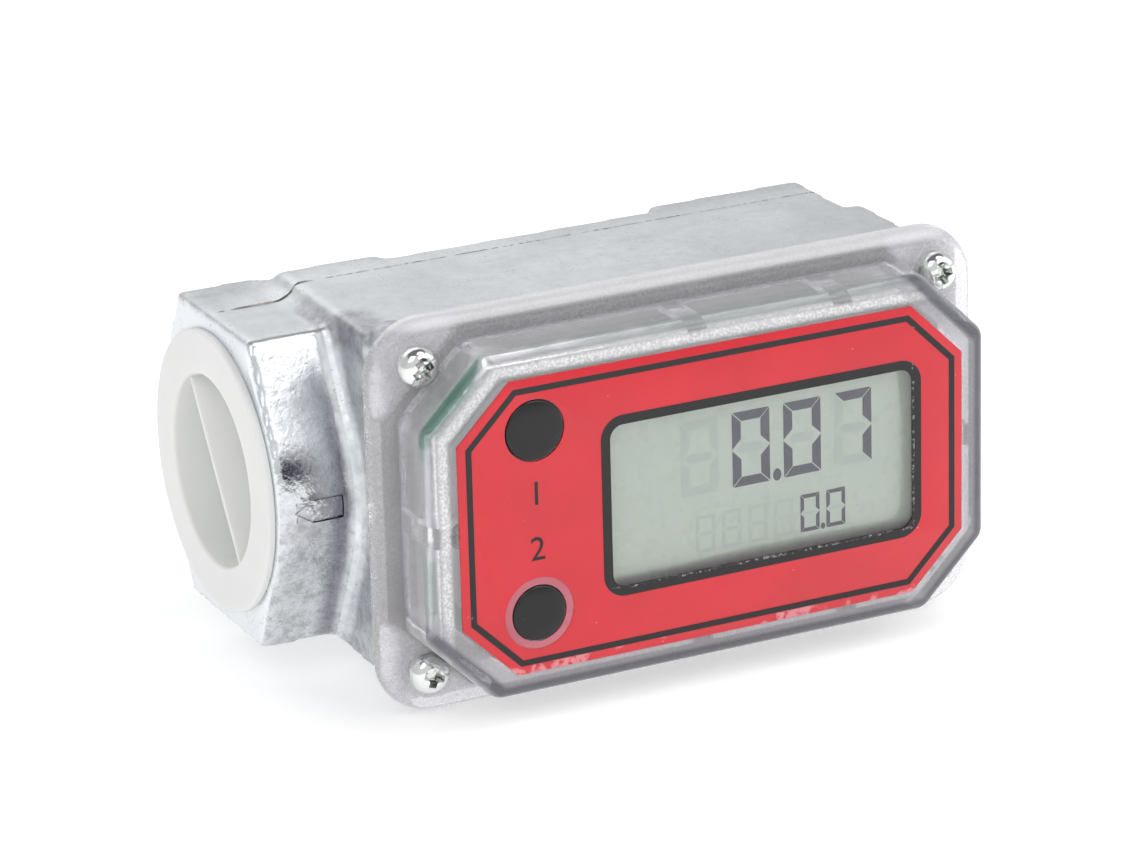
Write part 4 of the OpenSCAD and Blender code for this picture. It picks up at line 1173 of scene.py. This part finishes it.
FIGURES = {"0": "abcdef", "7": "abc", "8": "abcdefg"}


def digit(lit, part, stroke):
    """The lit segments of one figure of the LCD, as flat shapes that face up."""
    sizes = settings().display
    width = sizes.digit_width * part
    height = sizes.digit_height * part
    gap = sizes.gap * part
    top = (height - stroke) / 2
    side = (width - stroke) / 2
    quarter = math.pi / 2
    places = {
        "a": (0, top, 0), "d": (0, -top, 2 * quarter),
        "b": (side, height / 4, -quarter), "c": (side, -height / 4, -quarter),
        "e": (-side, -height / 4, quarter), "f": (-side, height / 4, quarter),
        "g": (0, 0, 0),
    }
    made = []
    for name in lit:
        if name == "g":
            bar = new_strip(width - stroke - gap, stroke)
            cut_corners(bar, stroke * 0.49, 1)
        else:
            length = (width if name in "ad" else height / 2) - gap
            bar = new_strip(length, stroke)
            for vert in bar.verts:
                if vert.co.y < 0:
                    vert.co.x *= 1 - 2 * stroke / length
        x, y, spin = places[name]
        made.append(move(turn(bar, spin, "Z"), (x, y, 0)))
    return made


class FLOWMETER_OT_display(Operator):
    """Builds the LCD: its lit figures, its idle segments and its ground"""
    bl_idname = "flowmeter.display"
    bl_label = "Display"

    def execute(self, context):
        colours = settings().colours
        front = glass_low.y
        lit = self.rows("007", "00", True)
        idle = self.rows("8888", "888888", False)
        idle_rise, lit_rise, sunk = 0.02 * MM, 0.06 * MM, 0.01 * MM
        for row, name, rgb, rise, replaces in (
                (idle, "idle_segments", colours.idle, idle_rise, ()),
                (lit, "lit_segments", colours.segments, lit_rise, ["lcd_segments"])):
            whole = thicken(together(row), front - rise, front + sunk)
            # Both kinds of segment glow faintly: painted light
            finish = plain_finish(name, rgb, 0.3, grain=600, spread=0.03,
                                  Emission_Color=rgb, Emission_Strength=0.1)
            add_piece(name, whole, finish, replaces=replaces, sharp=20)
        dress(self.ground_finish(colours.lcd), "lcd_glass")
        dress(plain_finish("lcd_reflector", shade(colours.lcd, 0.9), 0.5), "lcd_reflector")
        return {"FINISHED"}

    def ground_finish(self, rgb):
        """The display's ground, with a faint painted glow, and painted shade and a painted reddish
        reflection where the label's edge shows through.
        """
        # The ground's faint glow is painted light
        finish = Finish("lcd_ground", Coat_Weight=0.6, Coat_Roughness=0.05, Emission_Strength=0.1)
        (_, low), (right, _) = window_corners()
        # Painted light: a reddish reflection of the label's edge at the right, and shadow along the
        # bottom
        red = finish.past("X", right).between(0.6, 1.2)
        dim = finish.past("Z", low).between(1.2, -0.6)
        cloud = finish.noise(60, 2).between(0.3, 0.7)
        plain = finish.mix(cloud, shade(rgb, 0.97), rgb)
        dimmed = finish.mix(dim, plain, (0.32, 0.3, 0.3))
        finish.set(
            Base_Color=finish.mix(red, dimmed, (0.36, 0.2, 0.21)),
            Emission_Color=finish.mix(red, dimmed, (0.3, 0.12, 0.13)),
            Roughness=0.24 + 0.08 * finish.noise(500, 2),
        )
        return finish.material

    def rows(self, large, small, points):
        """The shapes of the large and the small row of figures, from right to left."""
        sizes = settings().display
        label = settings().label
        last_x = MIDDLE.x + label.window_right + sizes.last_right
        middle_z = MIDDLE.z + label.window_up
        small_stroke = sizes.stroke * sizes.small_stroke
        made = []
        for values, part, stroke, x, z in (
                (large, 1, sizes.stroke, last_x, middle_z + sizes.large_up),
                (small, sizes.small_share, small_stroke, last_x - sizes.small_left,
                 middle_z - sizes.small_down)):
            pitch = sizes.digit_pitch * part
            for i, value in enumerate(reversed(values)):
                for bar in digit(FIGURES[value], part, stroke):
                    made.append(move(turn(bar, math.pi / 2, "X"), (x - i * pitch, 0, z)))
            if points:
                low = z - (sizes.digit_height - sizes.stroke) * part / 2
                made.append(self.point(sizes.stroke * part * 0.55,
                                       (x - (len(values) - 1.5) * pitch, 0, low)))
        return made

    def point(self, radius, place):
        """A decimal point, a little higher than wide."""
        shape = bmesh.new()
        bmesh.ops.create_circle(shape, cap_ends=True, segments=20, radius=radius)
        turn(shape, math.pi / 2, "X")
        bmesh.ops.scale(shape, vec=(0.85, 1, 1.2), verts=shape.verts)
        return move(shape, place)


class FLOWMETER_OT_buttons(Operator):
    """Moulds the two push buttons"""
    bl_idname = "flowmeter.buttons"
    bl_label = "Push buttons"

    def execute(self, context):
        finish = plain_finish("button_rubber", settings().colours.button, 0.3, grain=1100,
                              relief=0.12, spread=0.25)
        slope, drop = 0.04 * MM, 0.3 * MM  # of the cap's top, halfway out and at its edge
        thick, soft, rim_soft = 0.7 * MM, 0.35 * MM, 0.1 * MM
        for node, body in (("display_button", "display_key"), ("calibrate_button", "calibrate_key")):
            low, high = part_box(node)
            place, radius = button_place(node)
            rim = high.y - thick
            outer = radius + settings().cover.button_rim
            cap = new_turned([
                (0, low.y, 0), (radius * 0.55, low.y + slope, 0), (radius, low.y + drop, soft),
                (radius, rim, 0), (outer, rim, rim_soft), (outer, high.y, rim_soft),
                (0, high.y, 0)])
            add_piece(node.replace("button", "key_cap"), move(cap, place), finish, body,
                      [node])
        return {"FINISHED"}


class FLOWMETER_OT_screws(Operator):
    """Makes the four pan head screws with their cross recesses"""
    bl_idname = "flowmeter.screws"
    bl_label = "Cover screws"

    def execute(self, context):
        sizes = settings().fastener
        finish = Finish("zinc_steel", Metallic=1.0)
        scratches = finish.noise(900, 3, 0.6, (1, 1, 0.3))
        rgb = settings().colours.zinc
        from_top = finish.past("Y", screws_low.y)
        core = finish.mix(from_top.between(0.35, 1.1), rgb, (0.42, 0.44, 0.32))
        out = from_top.between(2.1, 2.3)
        finish.set(
            Base_Color=finish.mix(out, finish.mix(finish.noise(350, 3) * 0.4, rgb, core), rgb),
            Roughness=0.05 + 0.16 * scratches,
            Normal=finish.bump(scratches, 0.12),
        )
        made = [move(turn(self.screw(sizes), math.radians(clocking), "Y"), place)
                for place, clocking in zip(screw_places(), (18, 62, 40, 75))]
        add_piece("pan_head_screws", together(made), finish.material,
                  replaces=["cover_screws"], sharp=32)
        return {"FINISHED"}

    def screw(self, sizes):
        """A screw on the origin's axis, with its head where the frame has it."""
        top = screws_low.y
        under = top + sizes.head_height
        tip = screws_high.y
        crown, shoulder, brim, point = 0.15 * MM, 0.95 * MM, 0.4 * MM, 1 * MM
        dome, brim_soft, under_soft = 0.6 * MM, 0.3 * MM, 0.15 * MM
        point_soft, tip_soft = 0.2 * MM, 0.1 * MM
        body = new_turned([
            (0, top, 0), (sizes.head * 0.62, top + crown, dome),
            (sizes.head * 0.94, top + shoulder, dome), (sizes.head, under - brim, brim_soft),
            (sizes.head, under, under_soft), (sizes.shank, under, 0),
            (sizes.shank, tip - point, point_soft), (sizes.shank * 0.6, tip, tip_soft),
            (0, tip, 0)], steps=64)
        above = top - OVERRUN
        deep = top + sizes.recess_depth
        sharp = 0.3 * MM  # the recess's pointed bottom
        tools = []
        for step in range(2):
            wing = new_plate(2 * sizes.recess, sizes.recess_width, above, deep)
            for vert in wing.verts:
                if vert.co.y > top:
                    vert.co.x *= sizes.taper
                    vert.co.z *= sizes.narrowing
            tools.append(turn(wing, step * math.pi / 2, "Y"))
        core = new_turned([(0, above, 0), (sizes.recess_width * 0.95, above, 0),
                           (sizes.recess_width * 0.5, deep, 0), (0, deep + sharp, 0)], steps=24)
        return carve(body, [*tools, core])


class FLOWMETER_OT_plug(Operator):
    """Moulds the white shipping plug with its recess and the web across it"""
    bl_idname = "flowmeter.plug"
    bl_label = "Shipping plug"

    def execute(self, context):
        sizes = settings().plug
        mouth = plug_low.x + sizes.rim
        rim_radius = (plug_high.z - plug_low.z) / 2
        floor_at = plug_high.x - sizes.floor
        recess_draft, barrel_draft = 0.6 * MM, 0.15 * MM
        bottom, lip, outer, behind, end = 1.2 * MM, 0.5 * MM, 0.45 * MM, 0.2 * MM, 0.8 * MM
        cup = new_turned([
            (0, floor_at, 0), (sizes.recess - recess_draft, floor_at, bottom),
            (sizes.recess, plug_low.x, lip), (rim_radius, plug_low.x, outer),
            (rim_radius, mouth, behind), (sizes.barrel, mouth, 0),
            (sizes.barrel - barrel_draft, plug_high.x, end), (0, plug_high.x, 0)], "X")
        web_front = plug_low.x + sizes.web_sink
        into_wall, into_floor, web_edge = 0.2 * MM, 0.3 * MM, 0.25 * MM
        web = new_plate(sizes.web, 2 * (sizes.recess + into_wall), 0,
                        floor_at + into_floor - web_front, edge=web_edge)
        web = turn(turn(web, -math.pi / 2, "Z"), -sizes.web_angle, "X")
        cup = carve(cup, [move(web, (web_front, 0, 0))], "UNION")
        finish = Finish("plug_plastic", Subsurface_Weight=0.25, Subsurface_Scale=2 * MM,
                        Subsurface_Radius=(1.0, 0.95, 0.9))
        rgb = settings().colours.plug
        finish.set(
            Base_Color=finish.mix(finish.noise(60, 3).between(0.3, 0.7), shade(rgb, 0.96), rgb),
            Roughness=0.4 + 0.12 * finish.noise(800, 3),
            Normal=finish.bump(finish.noise(500, 3), 0.12),
        )
        add_piece("moulded_plug", cup, finish.material, "plug", ["outlet_plug"])
        return {"FINISHED"}


# Name, colour, roughness, metal, grain and nodes of each plain inner finish
INNER_FINISHES = (
    ("frame_plastic", (0.5, 0.5, 0.52), 0.42, 0, 900, ("lcd_frame", "battery_holder")),
    ("contact_rubber", (0.05, 0.05, 0.06), 0.55, 0, 900, ("contact_strips",)),
    ("chip_resin", (0.018, 0.018, 0.02), 0.5, 0, 2500, ("processor_chip",)),
    ("tinned_metal", (0.62, 0.58, 0.48), 0.28, 1, 900, ("board_components",)),
    ("plated_screw", (0.72, 0.72, 0.68), 0.25, 1, 900, ("board_screws",)),
    ("pickup_resin", (0.03, 0.05, 0.13), 0.38, 0, 900, ("flow_pickup",)),
    ("spring_steel", (0.62, 0.62, 0.6), 0.22, 1, 900, ("battery_contacts", "battery_springs")),
    ("ring_steel", (0.16, 0.16, 0.17), 0.34, 1, 1600, ("inlet_ring", "outlet_ring")),
    ("stator_plastic", (0.74, 0.73, 0.68), 0.42, 0, 900, ("inlet_stator", "outlet_stator")),
    ("bearing_bronze", (0.6, 0.36, 0.15), 0.34, 1, 900, ("inlet_bearing", "outlet_bearing")),
    ("rotor_plastic", (0.04, 0.04, 0.045), 0.4, 0, 900, ("rotor_wheel",)),
    ("shaft_steel", (0.66, 0.66, 0.65), 0.16, 1, 3000, ("rotor_shaft",)),
    ("magnet_alloy", (0.42, 0.42, 0.4), 0.3, 1, 900, ("rotor_magnets",)),
    ("switch_case", (0.03, 0.03, 0.032), 0.45, 0, 900, ("display_switch", "calibrate_switch")),
    ("plunger_plastic", (0.62, 0.52, 0.16), 0.4, 0, 900, ("display_plunger", "calibrate_plunger")),
)


class FLOWMETER_OT_insides(Operator):
    """Finishes the board, the switches, the batteries, the turbine and the gasket"""
    bl_idname = "flowmeter.insides"
    bl_label = "Inner pieces"

    def execute(self, context):
        colours = settings().colours
        dress(self.laminate(colours.board), "circuit_board")
        dress(plain_finish("gasket_rubber", colours.rubber, 0.6, grain=1200, relief=0.4),
              "cover_gasket")
        dress(self.can(), "upper_battery", "lower_battery")
        for name, rgb, roughness, metallic, grain, nodes in INNER_FINISHES:
            dress(plain_finish(name, rgb, roughness, metallic, grain), *nodes)
        return {"FINISHED"}

    def laminate(self, rgb):
        """Green solder mask over woven glass, with copper tracks under it."""
        finish = Finish("board_laminate", Coat_Weight=0.4, Coat_Roughness=0.15)
        tracks = finish.node("ShaderNodeTexBrick", inputs={
            "Vector": finish.place, "Scale": 260.0, "Mortar Size": 0.06,
            "Color1": (0, 0, 0, 1), "Color2": (0, 0, 0, 1), "Mortar": (1, 1, 1, 1)}, output="Fac")
        weave = finish.noise(2400, 2)

        # A bare margin on the face, between 1.5 and 6 mm inside the board's cut outline
        middle = (board_low + board_high) / 2
        past_x = finish.past("X", middle.x).size() - (board_high.x - middle.x) / MM
        past_z = finish.past("Z", middle.z).size() - (board_high.z - middle.z) / MM
        cut = settings().cover.board_cut / MM
        past = past_x.most(past_z).most((past_x + past_z + cut) * math.sqrt(0.5))
        face = finish.past("Y", board_low.y).between(0.12, 0.08)
        margin = face * past.band(-6, -5.7, -1.8, -1.5)
        mask = finish.mix(tracks * 0.5, rgb, shade(rgb, 1.5))
        finish.set(
            Base_Color=finish.mix(margin, mask, (0.62, 0.61, 0.64)),
            Roughness=0.34 + 0.1 * weave,
            Normal=finish.bump(weave * 0.3 + tracks, 0.2, 0.04 * MM),
        )
        return finish.material

    def can(self):
        """The sleeve of a battery: plain dark plastic film with one gold end."""
        finish = Finish("battery_can", Coat_Weight=0.5, Coat_Roughness=0.1)
        band = finish.past("X", MIDDLE.x).between(8, 8.2)
        finish.set(
            Base_Color=finish.mix(band, (0.03, 0.03, 0.035), (0.62, 0.42, 0.14)),
            Metallic=band * 0.9,
            Roughness=0.3 + 0.1 * finish.noise(700, 2),
        )
        return finish.material


class FLOWMETER_OT_stage(Operator):
    """Sets the pale floor, the soft lights and the camera"""
    bl_idname = "flowmeter.stage"
    bl_label = "Stage"

    def execute(self, context):
        self.floor()
        self.lights(context.scene)
        self.camera(context.scene)
        context.scene.view_settings.view_transform = "Standard"
        return {"FINISHED"}

    def floor(self):
        """A pale sheet under the meter, as wide as any view."""
        shape = bmesh.new()
        bmesh.ops.create_grid(shape, x_segments=1, y_segments=1, size=60)
        floor = as_object(move(shape, (MIDDLE.x, 0, model_box[0][2])), "floor")
        finish = Finish("floor_paper", Base_Color=(0.8, 0.8, 0.8), Roughness=0.9,
                        Emission_Color=(1, 1, 1), Emission_Strength=0.42)
        floor.data.materials.append(finish.material)

    def lights(self, scene):
        """A pale room, and three soft lamps."""
        world = bpy.data.worlds.new("studio")
        world.use_nodes = True
        sky = Finish.of_tree(world.node_tree)
        light = world.node_tree.nodes["Background"]
        sky.plug(light.inputs["Color"], self.room(sky))
        light.inputs["Strength"].default_value = 0.62
        scene.world = world
        for name, place, width, height, watts in (
                ("key", (-0.55, -0.55, 0.85), 0.7, 0.7, 2.4),
                ("side", (0.75, -0.35, 0.45), 0.5, 0.8, 1),
                ("back", (-0.1, 0.8, 0.7), 1.0, 0.5, 2)):
            lamp = bpy.data.lights.new(name, "AREA")
            lamp.shape = "RECTANGLE"
            lamp.size = width
            lamp.size_y = height
            lamp.energy = watts
            item = bpy.data.objects.new(name, lamp)
            scene.collection.objects.link(item)
            item.location = MIDDLE + Vector(place)
            item.rotation_euler = (MIDDLE - item.location).to_track_quat("-Z", "Y").to_euler()

    def room(self, sky):
        """The room's light: even, with two bright panels, a dim ceiling and a dark gap."""
        front = sky.along("Y").between(0.2, -0.6)
        light = sky.mix(front, (1.12, 1.12, 1.12), (1.15, 1.15, 1.15))
        for spot, rgb in (
                (sky.toward(0.407, -0.72, 0.56).between(0.94, 0.965), (4, 4, 4)),
                (sky.along("Z").between(0.72, 0.8), (0.3, 0.3, 0.32)),
                (sky.toward(0.3, -0.25, 0.92).between(0.955, 0.975), (4, 4, 4)),
                (sky.toward(0.407, -0.88, 0.25).between(0.955, 0.985), (0.03, 0.03, 0.06))):
            light = sky.mix(spot, light, rgb)
        return light

    def camera(self, scene):
        """Stands the camera where the photograph was taken from."""
        sizes = settings().stage
        lens = bpy.data.cameras.new("camera")
        lens.sensor_width = 36
        lens.lens = sizes.lens
        lens.clip_end = 10
        target = Vector((MIDDLE.x, label_low.y, MIDDLE.z)) + Vector(sizes.aim)
        left, up = -sizes.azimuth, sizes.elevation
        level = Vector((math.sin(left), -math.cos(left), 0)) * math.cos(up)
        back_way = level + Vector((0, 0, math.sin(up)))
        right_way = Vector((math.cos(left), math.sin(left), 0))
        axes = Matrix((right_way, back_way.cross(right_way), back_way)).transposed()
        turned = axes @ Matrix.Rotation(sizes.roll, 3, "Z")
        stand = Matrix.Translation(target + sizes.distance * back_way)
        camera = bpy.data.objects.new("camera", lens)
        camera.matrix_world = stand @ turned.to_4x4()
        scene.collection.objects.link(camera)
        scene.camera = camera


class FLOWMETER_PT_pieces(Panel):
    """Lists the pieces of the flow meter and their sizes"""
    bl_idname = "FLOWMETER_PT_pieces"
    bl_label = "Flow meter"
    bl_space_type = "VIEW_3D"
    bl_region_type = "UI"
    bl_category = "Flow meter"

    def draw(self, context):
        for piece in PIECES:
            self.layout.operator(piece.bl_idname)
        for group in SIZE_GROUPS:
            box = self.layout.box()
            sizes = getattr(context.scene.flow_meter, group)
            for name in sizes.__annotations__:
                box.prop(sizes, name)


PIECES = (
    FLOWMETER_OT_housing, FLOWMETER_OT_threads, FLOWMETER_OT_cover, FLOWMETER_OT_label,
    FLOWMETER_OT_display, FLOWMETER_OT_buttons, FLOWMETER_OT_screws, FLOWMETER_OT_plug,
    FLOWMETER_OT_insides, FLOWMETER_OT_stage,
)
SIZE_GROUPS = ("housing", "cover", "label", "display", "fastener", "plug", "colours", "stage")
CLASSES = (
    HousingSizes, CoverSizes, LabelSizes, DisplaySizes, FastenerSizes, PlugSizes,
    FinishColours, StageSettings, MeterSettings, *PIECES, FLOWMETER_PT_pieces,
)


def register():
    """Adds the classes and the scene's settings."""
    for item in CLASSES:
        bpy.utils.register_class(item)
    bpy.types.Scene.flow_meter = PointerProperty(type=MeterSettings)


def unregister():
    """Takes the classes and the settings out again."""
    del bpy.types.Scene.flow_meter
    for item in reversed(CLASSES):
        bpy.utils.unregister_class(item)


def main():
    """Builds every piece."""
    register()
    for piece in PIECES:
        group, name = piece.bl_idname.split(".")
        getattr(getattr(bpy.ops, group), name)()


if __name__ == "__main__":
    main()
